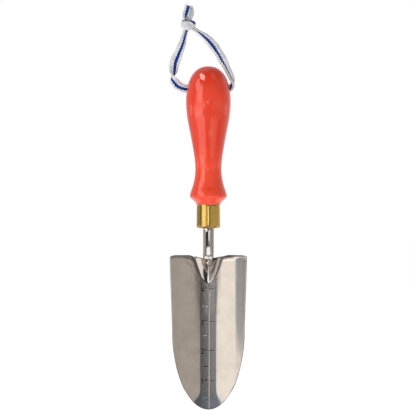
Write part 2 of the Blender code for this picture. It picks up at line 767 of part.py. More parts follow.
def build_cord_lower(left, right, section):
    """Through the handle and up both sides of it."""
    top = CORD_SPLIT_Z - SPLIT_GAP
    line = list(reversed(part_of(left, high=top))) + part_of(right, high=top)[1:]
    cord = swept("cord_lower", line, BRAID, section=section)
    smooth(cord.data, 60)
    set_origin(cord, (0.0, 0.0, CORD_HOLE_Z))


def build_knot_form():
    bpy.ops.mesh.primitive_uv_sphere_add(segments=20, ring_count=12, radius=1.0)
    knot = bpy.context.active_object
    knot.name = "knot_form"
    for collection in list(knot.users_collection):
        collection.objects.unlink(knot)
    link_helper(knot)
    for vertex in knot.data.vertices:
        vertex.co = [centre + share * half for centre, share, half
                     in zip(KNOT_CENTRE, vertex.co, KNOT_HALF)]
    return knot


def build_cord_upper(left, right, section):
    """Both strands up to the knot, the knot and the two tails."""
    bottom = CORD_SPLIT_Z + SPLIT_GAP
    line = part_of(left, low=bottom) + list(reversed(part_of(right, low=bottom)))
    cord = swept("cord_upper", line, BRAID, section=section)
    combine(cord, build_knot_form(), 'UNION')
    for k, tail in enumerate(TAILS):
        form = swept("tail_%d_form" % k, spline_through(tail, TAIL_STEP), section=section)
        combine(cord, form, 'UNION')
    set_origin(cord, (0.0, 0.0, CORD_SPLIT_Z))


def build_cord():
    section = build_cord_section()
    left = spline_through(LEFT_STRAND, CORD_STEP)
    right = spline_through(RIGHT_STRAND, CORD_STEP)
    build_cord_lower(left, right, section)
    build_cord_upper(left, right, section)


# --------------------------------------------------------------------- build
build_handle()
build_ferrule()
build_blade()
build_stem()
build_weld("weld_front", front_bead_path())
build_weld("weld_back_left", side_bead_path(-1))
build_weld("weld_back_right", side_bead_path(1))
build_cord()
bpy.context.view_layer.update()
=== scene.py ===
"""Hand trowel: fine surfaces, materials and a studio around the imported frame.

The trowel stands upright on the tip of its blade, in metres: +Z runs up through blade, stem,
ferrule and handle to the knotted cord, X is the blade's width, and the front faces -Y, where
the camera is. Left is -X.
"""
from math import sin, cos, tan, pi, sqrt, atan2, radians
import bpy
import bmesh
import numpy as np
from mathutils import Matrix, Vector, noise


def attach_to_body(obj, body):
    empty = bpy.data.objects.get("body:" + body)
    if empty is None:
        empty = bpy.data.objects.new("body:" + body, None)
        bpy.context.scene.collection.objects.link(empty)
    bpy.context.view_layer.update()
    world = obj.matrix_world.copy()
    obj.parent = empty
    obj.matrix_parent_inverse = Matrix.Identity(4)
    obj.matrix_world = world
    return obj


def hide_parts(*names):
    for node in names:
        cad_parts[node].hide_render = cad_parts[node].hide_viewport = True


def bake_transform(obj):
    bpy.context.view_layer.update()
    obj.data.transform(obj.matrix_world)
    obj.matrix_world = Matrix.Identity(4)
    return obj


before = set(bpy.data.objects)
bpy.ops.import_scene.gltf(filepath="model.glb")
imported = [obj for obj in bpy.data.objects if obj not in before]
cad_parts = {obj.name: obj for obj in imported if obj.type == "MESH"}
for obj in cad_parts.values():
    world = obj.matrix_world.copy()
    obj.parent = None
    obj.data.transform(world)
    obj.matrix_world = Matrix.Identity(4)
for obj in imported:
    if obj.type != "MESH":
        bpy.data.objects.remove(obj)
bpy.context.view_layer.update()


MM = 0.001
rng = np.random.default_rng(7)

# Sizes that both the materials and the shapes use
HOLE_Z = 266.0 * MM                                   # cord hole through the handle
FERRULE_TOP_Z, FERRULE_BOTTOM_Z = 169.8 * MM, 150.5 * MM
STRIPE_AT = 0.17                                      # across the tape, -1 outer, +1 inner
TAPE_HALF = 3.8 * MM                                  # half width of the flat tape
STITCH = 1.15                                         # length of one stitch, mm


# ============================================================== mesh helpers
def make_object(name, mesh, material=None):
    part = bpy.data.objects.new(name, mesh)
    bpy.context.scene.collection.objects.link(part)
    if material is not None:
        mesh.materials.append(material)
    return part


def attach(part, body, slot, *pieces):
    """Tell the frame what a part moves with and which pieces it replaces; its colour slot is not
    used.
    """
    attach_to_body(part, body)
    if pieces:
        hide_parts(*pieces)


def make_mesh(name, verts, faces):
    mesh = bpy.data.meshes.new(name)
    mesh.from_pydata([tuple(v) for v in np.asarray(verts, np.float64).reshape(-1, 3)], [],
                     [list(map(int, face)) for face in faces])
    mesh.validate()
    mesh.update()
    return mesh


def outward(mesh):
    """Make a closed mesh's faces point out."""
    bm = bmesh.new()
    bm.from_mesh(mesh)
    bmesh.ops.recalc_face_normals(bm, faces=bm.faces[:])
    if bm.calc_volume(signed=True) < 0:
        bmesh.ops.reverse_faces(bm, faces=bm.faces[:])
    bm.to_mesh(mesh)
    bm.free()


def smooth(mesh, angle):
    """Smooth shading, with edges sharper than the angle in degrees kept."""
    mesh.shade_smooth()
    mesh.set_sharp_from_angle(angle=radians(angle))


def add_attributes(mesh, **columns):
    """Store one number per vertex under each name."""
    for name, values in columns.items():
        attribute = mesh.attributes.new(name, 'FLOAT', 'POINT')
        attribute.data.foreach_set("value", np.asarray(values, np.float32).ravel())


def around(count):
    """Evenly spaced angles round a circle."""
    return 2 * pi * np.arange(count) / count


def tube_faces(rings, segs, first=0, closed=False):
    """Faces between rings of vertices numbered from `first`. An open tube is capped by
    fans to the two vertices that follow its rings; a closed one returns to its start."""
    here = first + np.arange(rings * segs).reshape(rings, segs)
    beside = np.roll(here, -1, 1)
    faces = []
    for k in range(rings if closed else rings - 1):
        after = (k + 1) % rings
        faces += zip(here[k], beside[k], beside[after], here[after])
    if not closed:
        cap = first + rings * segs
        faces += [(cap, b, a) for a, b in zip(here[0], beside[0])]
        faces += [(cap + 1, a, b) for a, b in zip(here[-1], beside[-1])]
    return faces


def tube_mesh(name, rings, caps=None, closed=False):
    """Solid through an (n, m, 3) array of rings, capped at their centres by default."""
    count, segs, _ = rings.shape
    verts = rings.reshape(-1, 3)
    if not closed:
        verts = np.vstack([verts, *(caps or (rings[0].mean(0), rings[-1].mean(0)))])
    mesh = make_mesh(name, verts, tube_faces(count, segs, closed=closed))
    outward(mesh)
    return mesh


def section_rings(centres, side, up, wide, high):
    """Rings of points about a path: `wide` along `side` and `high` along `up`."""
    return (centres[:, None, :] + wide[..., None] * side[:, None, :]
            + high[..., None] * up[:, None, :])


def turned_solid(name, outline, segs, material=None, angle=40.0):
    """Spin an (r, z) outline that runs from the axis back to the axis, or a closed one
    that stays off the axis."""
    closed = outline[0][0] > 1e-9
    turn = around(segs)
    r, z = np.array([p for p in outline if p[0] > 1e-9]).T[:, :, None]
    rings = np.stack([r * np.cos(turn), r * np.sin(turn), z + 0 * turn], -1)
    mesh = tube_mesh(name, rings, ([0, 0, outline[0][1]], [0, 0, outline[-1][1]]), closed)
    smooth(mesh, angle)
    return make_object(name, mesh, material)


def cut_away(part, cutter):
    """Subtract the cutter from the part and remove the cutter."""
    modifier = part.modifiers.new("cut", 'BOOLEAN')
    modifier.operation = 'DIFFERENCE'
    modifier.solver = 'EXACT'
    modifier.object = cutter
    bpy.context.view_layer.update()
    depsgraph = bpy.context.evaluated_depsgraph_get()
    mesh = bpy.data.meshes.new_from_object(part.evaluated_get(depsgraph))
    part.modifiers.clear()
    part.data = mesh
    bpy.data.objects.remove(cutter, do_unlink=True)


# ============================================================= curve helpers
def unit(rows):
    return rows / np.maximum(np.linalg.norm(rows, axis=1), 1e-9)[:, None]


def tangents(path):
    return unit(np.gradient(path, axis=0))


def run_length(path):
    """Distance along the path at each of its points."""
    return np.concatenate([[0], np.cumsum(np.linalg.norm(np.diff(path, axis=0), axis=1))])


def spline_table(points, step):
    """Catmull-Rom through rows of numbers; the first three are x, y, z."""
    rows = np.asarray(points, float)
    rows = np.vstack([2 * rows[0] - rows[1], rows, 2 * rows[-1] - rows[-2]])
    out = []
    for k in range(1, len(rows) - 2):
        p0, p1, p2, p3 = rows[k - 1:k + 3]
        count = max(1, int(round(np.linalg.norm((p2 - p1)[:3]) / step)))
        t = (np.arange(count) / count)[:, None]
        out.append(0.5 * (2 * p1 + (p2 - p0) * t + (2 * p0 - 5 * p1 + 4 * p2 - p3) * t ** 2
                          + (3 * p1 - p0 - 3 * p2 + p3) * t ** 3))
    out.append(rows[-2][None])
    return np.vstack(out)


def through_table(table, x):
    """Cubic through (x, y) rows that doesn't overshoot and is level at both ends."""
    last = len(table) - 1
    rise = [(y1 - y0) / (x1 - x0) for (x0, y0), (x1, y1) in zip(table, table[1:])]
    slope = [0.0] + [0.0 if a * b <= 0 else 2 * a * b / (a + b)
                     for a, b in zip(rise, rise[1:])] + [0.0]
    for i in range(last):
        x0, y0 = table[i]
        x1, y1 = table[i + 1]
        if x <= x1 or i == last - 1:
            h = x1 - x0
            t = min(1.0, max(0.0, (x - x0) / h))
            return ((2 * t ** 3 - 3 * t * t + 1) * y0 + (t ** 3 - 2 * t * t + t) * h * slope[i]
                    + (3 * t * t - 2 * t ** 3) * y1 + (t ** 3 - t * t) * h * slope[i + 1])


def ease(x):
    """Smooth step from 0 to 1."""
    t = np.clip(x, 0.0, 1.0)
    return t * t * (3 - 2 * t)


def signed_power(values, power):
    return np.sign(values) * np.abs(values) ** power


def off_segment(x, z, ax, az, bx, bz):
    """Distance from the segment a-b."""
    t = ((x - ax) * (bx - ax) + (z - az) * (bz - az)) / ((bx - ax) ** 2 + (bz - az) ** 2)
    t = np.clip(t, 0, 1)
    return np.hypot(x - ax - t * (bx - ax), z - az - t * (bz - az))


# ============================================================== node helpers
class Signal:
    """A node output; arithmetic on it adds Math nodes to its tree."""

    def __init__(self, tree, socket):
        self.tree = tree
        self.socket = socket

    def __add__(self, other):
        return self.tree.math('ADD', self, other)

    def __sub__(self, other):
        return self.tree.math('SUBTRACT', self, other)

    def __rsub__(self, other):
        return self.tree.math('SUBTRACT', other, self)

    def __mul__(self, other):
        return self.tree.math('MULTIPLY', self, other)

    def __truediv__(self, other):
        return self.tree.math('DIVIDE', self, other)

    def __pow__(self, other):
        return self.tree.math('POWER', self, other)

    def __abs__(self):
        return self.tree.math('ABSOLUTE', self)

    def max(self, other):
        return self.tree.math('MAXIMUM', self, other)

    def fraction(self):
        return self.tree.math('FRACT', self)

    def ramp(self, start, end, at_start, at_end, smooth=True):
        """Goes from at_start to at_end while the signal goes from start to end."""
        return self.tree.add(
            'MapRange', {'Value': self, 'From Min': start, 'From Max': end,
                         'To Min': at_start, 'To Max': at_end},
            interpolation_type='SMOOTHSTEP' if smooth else 'LINEAR')

    def rise(self, start, end):
        return self.ramp(start, end, 0.0, 1.0)

    def fall(self, start, end):
        return self.ramp(start, end, 1.0, 0.0)

    def between(self, low, high, soft):
        """One from low to high, fading over `soft` to each side of both."""
        return self.rise(low - soft, low + soft) * self.fall(high - soft, high + soft)


class Tree:
    """Writes a node tree with few words."""

    def __init__(self, node_tree):
        self.node_tree = node_tree

    def put(self, socket, value):
        """Link a signal or set a value; a colour may be given as one grey level."""
        if isinstance(value, Signal):
            self.node_tree.links.new(value.socket, socket)
        elif socket.type == 'RGBA':
            socket.default_value = (*(value if isinstance(value, tuple) else (value,) * 3), 1.0)
        else:
            socket.default_value = value

    def add(self, kind, inputs, output=0, **settings):
        node = self.node_tree.nodes.new('ShaderNode' + kind)
        for name, setting in settings.items():
            setattr(node, name, setting)
        for key, value in inputs.items():
            self.put(node.inputs[key], value)
        return Signal(self, node.outputs[output])

    def surface(self, inputs):
        """Set inputs of the material's shader."""
        shader = self.node_tree.nodes["Principled BSDF"]
        for key, value in inputs.items():
            self.put(shader.inputs[key], value)

    def math(self, operation, a, b=0.0):
        return self.add('Math', {0: a, 1: b, 2: 0.0}, operation=operation)

    def vector_math(self, operation, a, b=(0, 0, 0)):
        return self.add('VectorMath', {0: a, 1: b}, operation=operation)

    def mix(self, share, a, b, blend='MIX'):
        """Colour a, with its share of colour b."""
        return self.add('Mix', {0: share, 6: a, 7: b}, 2, data_type='RGBA', blend_type=blend)

    def mix_value(self, share, a, b):
        return self.add('Mix', {0: share, 2: a, 3: b}, data_type='FLOAT')

    def xyz(self, vector):
        node = self.add('SeparateXYZ', {0: vector}).socket.node
        return [Signal(self, output) for output in node.outputs]

    def join(self, x, y, z):
        return self.add('CombineXYZ', {0: x, 1: y, 2: z})

    def noise(self, vector, scale, detail=3.0, rough=0.5):
        """Noise texture; a scale of three numbers stretches it along the axes."""
        if isinstance(scale, tuple):
            vector = self.vector_math('MULTIPLY', vector, scale)
            scale = 1.0
        return self.add('TexNoise', {'Vector': vector, 'Scale': scale, 'Detail': detail,
                                     'Roughness': rough})

    def bump(self, height, strength, distance, normal=None):
        inputs = {'Strength': strength, 'Distance': distance, 'Height': height}
        if normal is not None:
            inputs['Normal'] = normal
        return self.add('Bump', inputs)

    def attribute(self, name):
        return self.add('Attribute', {}, 'Fac', attribute_name=name)

    def palette(self, turn, stops):
        """Colour by azimuth, from (degrees, colour) stops that start at -180. The ramp
        holds half the colours, so they may exceed one."""
        ramp = self.add('ValToRGB', {0: turn})
        elements = ramp.socket.node.color_ramp.elements
        elements.remove(elements[-1])
        for k, (degrees, colour) in enumerate(stops):
            place = degrees / 360.0 + 0.5
            element = elements.new(place) if k else elements[0]
            rgb = colour if isinstance(colour, tuple) else (colour,) * 3
            element.color = (rgb[0] / 2, rgb[1] / 2, rgb[2] / 2, 1.0)
        return self.mix(1.0, ramp, 2.0, 'MULTIPLY')


def new_material(name):
    """A material, its tree and its object-space coordinates."""
    material = bpy.data.materials.new(name)
    material.use_nodes = True
    tree = Tree(material.node_tree)
    return material, tree, tree.add('TexCoord', {}, 'Object')


# ================================================================= materials
# Heights and widths in these are metres in the trowel's frame.
def enamel_material():
    """Glossy red enamel over turned wood."""
    material, tree, place = new_material("enamel_over_wood")
    _, y, z = tree.xyz(place)
    tone = tree.noise(place, 55.0, detail=4.0, rough=0.55)
    grain = tree.noise(place, (900.0, 900.0, 22.0), detail=4.0, rough=0.6)
    red = tree.mix(tone.rise(0.35, 0.68), (0.87, 0.046, 0.013), (0.93, 0.057, 0.017))
    # painted light brightens the grip low down and painted shade deepens a band above it; darker
    # along the grain
    red = tree.mix(z.rise(0.232, 0.195), red, (0.985, 0.068, 0.022))
    red = tree.mix(z.between(0.212, 0.245, 0.012), red, (0.83, 0.046, 0.013))
    red = tree.mix(grain.ramp(0.52, 0.78, 0.0, 0.16), red, (0.70, 0.036, 0.012))
    # thin paint along the mouths of the cord hole and on the collar's rim
    from_hole = (y ** 2.0 + (z - HOLE_Z) ** 2.0) ** 0.5
    chips = tree.noise(place, 650.0, rough=0.6)
    wear = from_hole.fall(0.0047, 0.0062) * chips.rise(0.46, 0.60)
    foot = z.between(FERRULE_TOP_Z, 0.1706, 0.0003)
    wear = wear.max(foot * chips.rise(0.50, 0.62))
    red = tree.mix(wear * 0.55, red, (0.60, 0.20, 0.085))
    smear = tree.noise(place, 120.0, detail=4.0, rough=0.6)
    fine = tree.noise(place, 1800.0, detail=2.0)
    rough = smear.ramp(0.30, 0.75, 0.120, 0.190) + wear * 0.30
    rough = rough + fine.ramp(0.3, 0.7, -0.015, 0.015)
    # orange peel, grain and turning rings show through the gloss
    peel = tree.noise(place, 420.0, detail=2.0)
    turning = tree.noise(place, (70.0, 70.0, 1300.0), rough=0.6)
    height = peel * 0.6 + grain * 0.35 + turning * 0.30
    tree.surface({'Base Color': red, 'Roughness': rough, 'IOR': 1.58, 'Coat Weight': 0.75,
                  'Coat Roughness': 0.05,
                  'Normal': tree.bump(height, strength=0.040, distance=0.0004)})
    return material


def metal_base(name, colour, dark, rough, stretch):
    """Metal with stretched drawing lines and a haze; `rough` is its (least, most)."""
    material, tree, place = new_material(name)
    lines = tree.noise(place, stretch, detail=5.0, rough=0.65)
    fine = tree.noise(place, tuple(s * 3.1 for s in stretch), rough=0.6)
    haze = tree.noise(place, 70.0, detail=4.0, rough=0.6)
    between = tuple(0.5 * (a + b) for a, b in zip(colour, dark))
    colour = tree.mix(haze.rise(0.30, 0.75), colour, between)
    colour = tree.mix(lines.ramp(0.58, 0.80, 0.0, 0.35), colour, dark)
    rough = haze.ramp(0.3, 0.75, *rough) + lines.ramp(0.50, 0.78, 0.0, 0.045)
    tree.surface({'Metallic': 1.0})
    return material, tree, place, colour, rough, lines * 0.6 + fine * 0.4


def brass_material():
    material, tree, place, colour, rough, height = metal_base(
        "drawn_brass", colour=(0.82, 0.560, 0.165), dark=(0.60, 0.37, 0.08),
        rough=(0.085, 0.150), stretch=(1500.0, 1500.0, 40.0))
    z = tree.xyz(place)[2]
    pits = tree.noise(place, 900.0, detail=2.0)
    # tarnished around the ferrule's lower edge
    tarnish = (z.ramp(FERRULE_BOTTOM_Z, 0.1535, 0.75, 0.0)
               * tree.noise(place, 300.0, rough=0.6).rise(0.35, 0.7))
    colour = tree.mix(tarnish, colour, (0.42, 0.24, 0.06))
    colour = tree.mix(pits.ramp(0.66, 0.74, 0.0, 0.5), colour, (0.45, 0.27, 0.06))
    tree.surface({'Base Color': colour, 'Roughness': rough + tarnish * 0.12,
                  'Normal': tree.bump(height, strength=0.10, distance=0.0002)})
    return material


def bar_material():
    material, tree, place, colour, rough, height = metal_base(
        "bright_bar", colour=(0.69, 0.67, 0.645), dark=(0.50, 0.475, 0.45),
        rough=(0.07, 0.12), stretch=(1100.0, 1100.0, 50.0))
    x, _, z = tree.xyz(place)
    # heat tint by the weld: blue below, straw above
    warm = z.fall(0.1225, 0.1285) * tree.noise(place, 260.0, rough=0.6).rise(0.30, 0.65)
    tint = tree.mix(z.rise(0.1185, 0.1255), (0.26, 0.27, 0.38), (0.60, 0.44, 0.24))
    colour = tree.mix(warm * 0.50, colour, tint)
    # painted shade: the neck's flanks are darker and mostly non-metallic, the right flank darkest
    neck_shade = z.rise(0.1300, 0.1330) * z.fall(0.1500, 0.1515)
    right = neck_shade * x.rise(0.0011, 0.0019)
    left = neck_shade * x.fall(-0.0040, -0.0033)
    colour = tree.mix(right, colour, (0.33, 0.315, 0.295))
    colour = tree.mix(left, colour, (0.46, 0.445, 0.43))
    tree.surface({'Metallic': tree.mix_value(left.max(right), 1.0, 0.20),
                  'Base Color': colour, 'Roughness': rough + warm * 0.08,
                  'Normal': tree.bump(height, strength=0.06, distance=0.0002)})
    return material


def sheet_normal(tree, place, height):
    """The sheet's normal, levelled where it mirrors the room at eye level."""
    x, _, z = tree.xyz(place)
    wave = tree.noise(place, (46.0, 46.0, 12.0), detail=2.0, rough=0.45)
    normal_x, normal_y, normal_z = tree.xyz(tree.add('NewGeometry', {}, 'Normal'))
    # the tip's transition is almost level
    level = z.fall(0.0185, 0.0205) * abs(normal_z).fall(0.30, 0.42)
    # and so is the left shoulder where it starts to roll back
    roll = z.rise(0.1230, 0.1242) * x.fall(-0.0150, -0.0130)
    level = level.max(roll * 0.85)
    normal = tree.join(normal_x, normal_y, normal_z * (1.0 - level))
    normal = tree.vector_math('NORMALIZE', normal)
    normal = tree.bump(wave, strength=0.20, distance=0.0002, normal=normal)
    return tree.bump(height, strength=0.05, distance=0.0002, normal=normal)


def sheet_material():
    material, tree, place, colour, rough, height = metal_base(
        "polished_sheet", colour=(0.665, 0.645, 0.62), dark=(0.50, 0.48, 0.46),
        rough=(0.055, 0.105), stretch=(800.0, 800.0, 16.0))
    x, _, z = tree.xyz(place)
    # the mesh marks dark cuts and painted shade above zero, dull scratches below
    marks = tree.attribute("groove")
    cut = marks.max(0.0)
    dull = (marks * -1.0).max(0.0)
    # the back is only brushed
    rough = rough + tree.attribute("back") * 0.13
    # smudges and soil-washed haze towards the tip
    smudge = tree.noise(place, 95.0, detail=5.0, rough=0.65).rise(0.42, 0.72)
    rough = rough + z.fall(0.0, 0.055) * smudge * 0.05
    warm = tree.noise(place, 28.0)
    colour = tree.mix(warm.ramp(0.35, 0.70, 0.0, 0.30), colour, (0.60, 0.57, 0.53))
    # painted reflection: the very tip is tinted darker and bluer
    tip_reflection_tint = z.ramp(0.0095, 0.0140, 0.8, 0.0) * abs(x).fall(0.010, 0.0135)
    colour = tree.mix(tip_reflection_tint, colour, (0.52, 0.565, 0.62))
    # straw and brown heat tint around the weld
    heat = z.rise(0.1175, 0.1215) * abs(x).ramp(0.0042, 0.0066, 1.0, 0.0, smooth=False)
    heat = heat * tree.noise(place, 420.0, rough=0.6).ramp(0.25, 0.60, 0.55, 1.0)
    colour = tree.mix(heat * 0.85, colour, (0.34, 0.30, 0.255))
    # hair-line scratches in two directions
    upright = tree.noise(place, (2600.0, 300.0, 60.0), detail=2.0)
    slanted = tree.noise(tree.vector_math('ADD', place, tree.join(z * 0.35, 0.0, 0.0)),
                         (3200.0, 200.0, 45.0), detail=2.0)
    scratch = upright.rise(0.68, 0.74).max(slanted.rise(0.70, 0.76))
    rough = rough + scratch * 0.10
    # painted shade and the scale's cuts darken the colour where the marks are above zero
    colour = tree.mix(cut * 0.94, colour, (0.040, 0.038, 0.037))
    rough = rough + cut * 0.40 + dull * 0.20
    tree.surface({'Base Color': colour, 'Roughness': rough,
                  'Normal': sheet_normal(tree, place, height + scratch * -0.6)})
    return material


def weld_material():
    material, tree, place, colour, rough, height = metal_base(
        "weld_bead", colour=(0.90, 0.885, 0.86), dark=(0.45, 0.42, 0.39),
        rough=(0.13, 0.26), stretch=(900.0, 900.0, 900.0))
    tint = tree.noise(place, 420.0, rough=0.6)
    colour = tree.mix(tint.ramp(0.54, 0.66, 0.0, 0.60), colour, (0.16, 0.14, 0.15))
    colour = tree.mix(tint.ramp(0.66, 0.74, 0.0, 0.60), colour, (0.48, 0.33, 0.17))
    # painted highlight: the splash in the middle is near-white and mostly non-metallic
    x, y, z = tree.xyz(place)
    splash_highlight = z.rise(0.1239, 0.1247) * abs(x - 0.0002).fall(0.0022, 0.0031)
    splash_highlight = splash_highlight * y.fall(0.0085, 0.0105)
    colour = tree.mix(splash_highlight, colour, (0.94, 0.93, 0.905))
    tree.surface({'Metallic': tree.mix_value(splash_highlight, 1.0, 0.15), 'Base Color': colour,
                  'Roughness': rough,
                  'Normal': tree.bump(height, strength=0.25, distance=0.0003)})
    return material


def tape_material():
    """Flat braided cotton tape with a woven blue stripe."""
    material, tree, place = new_material("braided_tape")
    across = tree.attribute("across")                 # -1 .. 1
    along = tree.attribute("along")                   # metres
    shown = tree.attribute("stripe")                  # 1 where the stripe can show
    # yarns: a herring-bone of slanted stitches, mirrored about each rib
    off_rib = abs((across * 4.5).fraction() - 0.5)    # 0 .. 0.5
    stitch = along * (1.0 / (STITCH * MM)) + off_rib * 1.3
    saw = abs(stitch.fraction() * 2.0 - 1.0)
    weave = (1.0 - saw) ** 0.6 * off_rib.ramp(0.36, 0.5, 1.0, 0.25)
    fuzz = tree.noise(place, 2600.0, rough=0.7)
    soft = tree.noise(place, 260.0, detail=4.0, rough=0.6)
    crease = tree.attribute("crease")                 # 0 .. 1 down in the folds
    white = tree.mix(soft.rise(0.30, 0.72), (0.72, 0.72, 0.74), (0.90, 0.90, 0.905))
    white = tree.mix(weave.ramp(0.0, 0.55, 0.34, 0.0), white, (0.40, 0.405, 0.44))
    white = tree.mix(fuzz.ramp(0.35, 0.75, 0.12, 0.0), white, (0.45, 0.45, 0.48))
    # painted shade darkens the tape down in its folds
    white = tree.mix(crease * 0.75, white, (0.13, 0.135, 0.16))
    # painted shade: the tape's rounded edges are greyer where they turn from view
    facing = tree.add('LayerWeight', {'Blend': 0.5}, 'Facing')
    white = tree.mix(facing.ramp(0.50, 0.95, 0.0, 0.45), white, (0.36, 0.36, 0.38))
    # the stripe steps from stitch to stitch, so its edge is a zigzag
    zigzag = tree.math('PINGPONG', along / 0.00125, 1.0) - 0.5
    wander = (tree.noise(tree.join(along, 0.0, 0.0), 160.0, detail=2.0) - 0.5) * 0.22
    centre = zigzag * 0.14 + (wander + STRIPE_AT)
    edge = abs(across - centre) + (fuzz - 0.5) * 0.05
    stripe = (edge - shown * 0.32).fall(-0.03, 0.03) * shown.rise(0.05, 0.2)
    blue = tree.mix(weave.rise(0.0, 0.55), (0.0010, 0.014, 0.100), (0.002, 0.044, 0.270))
    blue = tree.mix(fuzz.ramp(0.45, 0.8, 0.0, 0.22), blue, (0.04, 0.10, 0.32))
    tree.surface({'Base Color': tree.mix(stripe, white, blue), 'Roughness': 0.88,
                  'Sheen Weight': 0.15, 'Sheen Roughness': 0.45,
                  'Sheen Tint': (0.95, 0.96, 1.0), 'IOR': 1.35,
                  'Normal': tree.bump(weave + fuzz * 0.35, strength=0.55, distance=0.00022)})
    return material


def fibre_material():
    material, tree, place = new_material("loose_fibre")
    tone = tree.noise(place, 900.0, rough=0.6)
    colour = tree.mix(tone.rise(0.3, 0.7), (0.55, 0.55, 0.58), (0.82, 0.82, 0.84))
    tree.surface({'Base Color': colour, 'Roughness': tone.ramp(0.3, 0.7, 0.75, 0.95),
                  'Sheen Weight': 0.4,
                  'Normal': tree.bump(tone, strength=0.3, distance=0.0002)})
    return material


ENAMEL = enamel_material()
BRASS = brass_material()
BAR = bar_material()
SHEET_METAL = sheet_material()
WELD = weld_material()
TAPE = tape_material()
FIBRE = fibre_material()

# ==================================================================== handle
# Names in _DOWN and _DEPTH are measured down from the handle's top.
HANDLE_TOP_Z = 284.8 * MM
DOME_DEPTH, BULGE_R, DOME_POWER = 29.6 * MM, 18.6 * MM, 2.3
COLLAR_R, COLLAR_DOWN = 15.35 * MM, 107.3 * MM
SHOULDER_R, SHOULDER_DOWN = 9.9 * MM, 114.7 * MM
# distance down and radius of the grip, mm
GRIP = tuple((down * MM, r * MM) for down, r in (
    (29.6, 18.60), (40.3, 17.85), (50.2, 16.15), (60.1, 14.20), (70.1, 12.45), (77.5, 11.35),
    (85.5, 10.84), (92.4, 11.50), (99.9, 13.30), (104.0, 14.70), (107.3, 15.35)))
TENON_R, TENON_BOTTOM_Z = 8.50 * MM, 153.4 * MM
STEM_R, TANG_TOP_Z, TANG_TIP_R, TANG_TAPER_Z = 4.5 * MM, 226.0 * MM, 2.6 * MM, 172.0 * MM
GAP = 0.3 * MM                                        # clearance between solid parts
HOLE_R, MOUTH_R = 4.2 * MM, 5.9 * MM
CUTTER_HALF = 26 * MM                                 # half length of the hole's cutter


def handle_radius(down):
    if down <= DOME_DEPTH:
        k = 1.0 - down / DOME_DEPTH
        return BULGE_R * (1.0 - k ** DOME_POWER) ** (1.0 / DOME_POWER)
    if down <= COLLAR_DOWN:
        return through_table(GRIP, down)
    t = (down - COLLAR_DOWN) / (SHOULDER_DOWN - COLLAR_DOWN)
    return SHOULDER_R + (COLLAR_R - SHOULDER_R) * 0.5 * (1 + cos(pi * min(1.0, t)))


def hole_cutter():
    """Cutter for the cord hole, along X, with rounded mouths."""
    mouth_x = handle_radius(HANDLE_TOP_Z - HOLE_Z) + 0.9 * MM
    flare = MOUTH_R - HOLE_R
    half = [(0.0, CUTTER_HALF), (MOUTH_R + 1.5 * MM, CUTTER_HALF), (MOUTH_R + 1.5 * MM, mouth_x)]
    for k in range(13):
        a = 0.5 * pi * k / 12
        half.append((HOLE_R + flare * (1 - sin(a)), mouth_x - 1.6 * flare * (1 - cos(a))))
    outline = half + [(r, -z) for r, z in reversed(half)]
    cutter = turned_solid("hole_cutter", outline, 64)
    cutter.data.transform(Matrix.Rotation(pi / 2, 4, 'Y'))
    cutter.data.transform(Matrix.Translation((0, 0, HOLE_Z)))
    outward(cutter.data)
    return cutter


def build_handle():
    downs = [DOME_DEPTH * (1 - cos(0.5 * pi * k / 48)) ** 1.25 for k in range(1, 49)]
    downs += [DOME_DEPTH + (COLLAR_DOWN - DOME_DEPTH) * k / 90 for k in range(1, 91)]
    downs += [COLLAR_DOWN + (SHOULDER_DOWN - COLLAR_DOWN) * k / 14 for k in range(1, 15)]
    outline = [(0.0, HANDLE_TOP_Z)]
    outline += [(handle_radius(down), HANDLE_TOP_Z - down) for down in downs]
    # the foot, the tenon inside the ferrule and the bore for the tang
    foot = HANDLE_TOP_Z - SHOULDER_DOWN - 0.12 * MM
    bore_top = TANG_TOP_Z + 1.2 * MM
    outline += [(SHOULDER_R - 0.25 * MM, foot), (TENON_R, foot),
                (TENON_R, TENON_BOTTOM_Z + 0.6 * MM), (TENON_R - 0.6 * MM, TENON_BOTTOM_Z),
                (STEM_R + GAP, TENON_BOTTOM_Z), (STEM_R + GAP, TANG_TAPER_Z),
                (TANG_TIP_R + GAP, bore_top), (0.0, bore_top)]
    handle = turned_solid("handle_body", outline, 160, ENAMEL)
    cut_away(handle, hole_cutter())
    smooth(handle.data, 32)
    attach(handle, "trowel", "painted_wood", "handle")
    handle.visible_glossy = False


build_handle()

# =================================================================== ferrule
FERRULE_TOP_R, FERRULE_LOW_R, WALL, EYE_R = 9.65 * MM, 9.80 * MM, 0.8 * MM, 4.85 * MM
FERRULE_LIP = 0.18 * MM                               # rounding of the upper mouth
CORNER_R, CORNER_HIGH = 3.6 * MM, 2.0 * MM            # rounding of the cup's lower corner


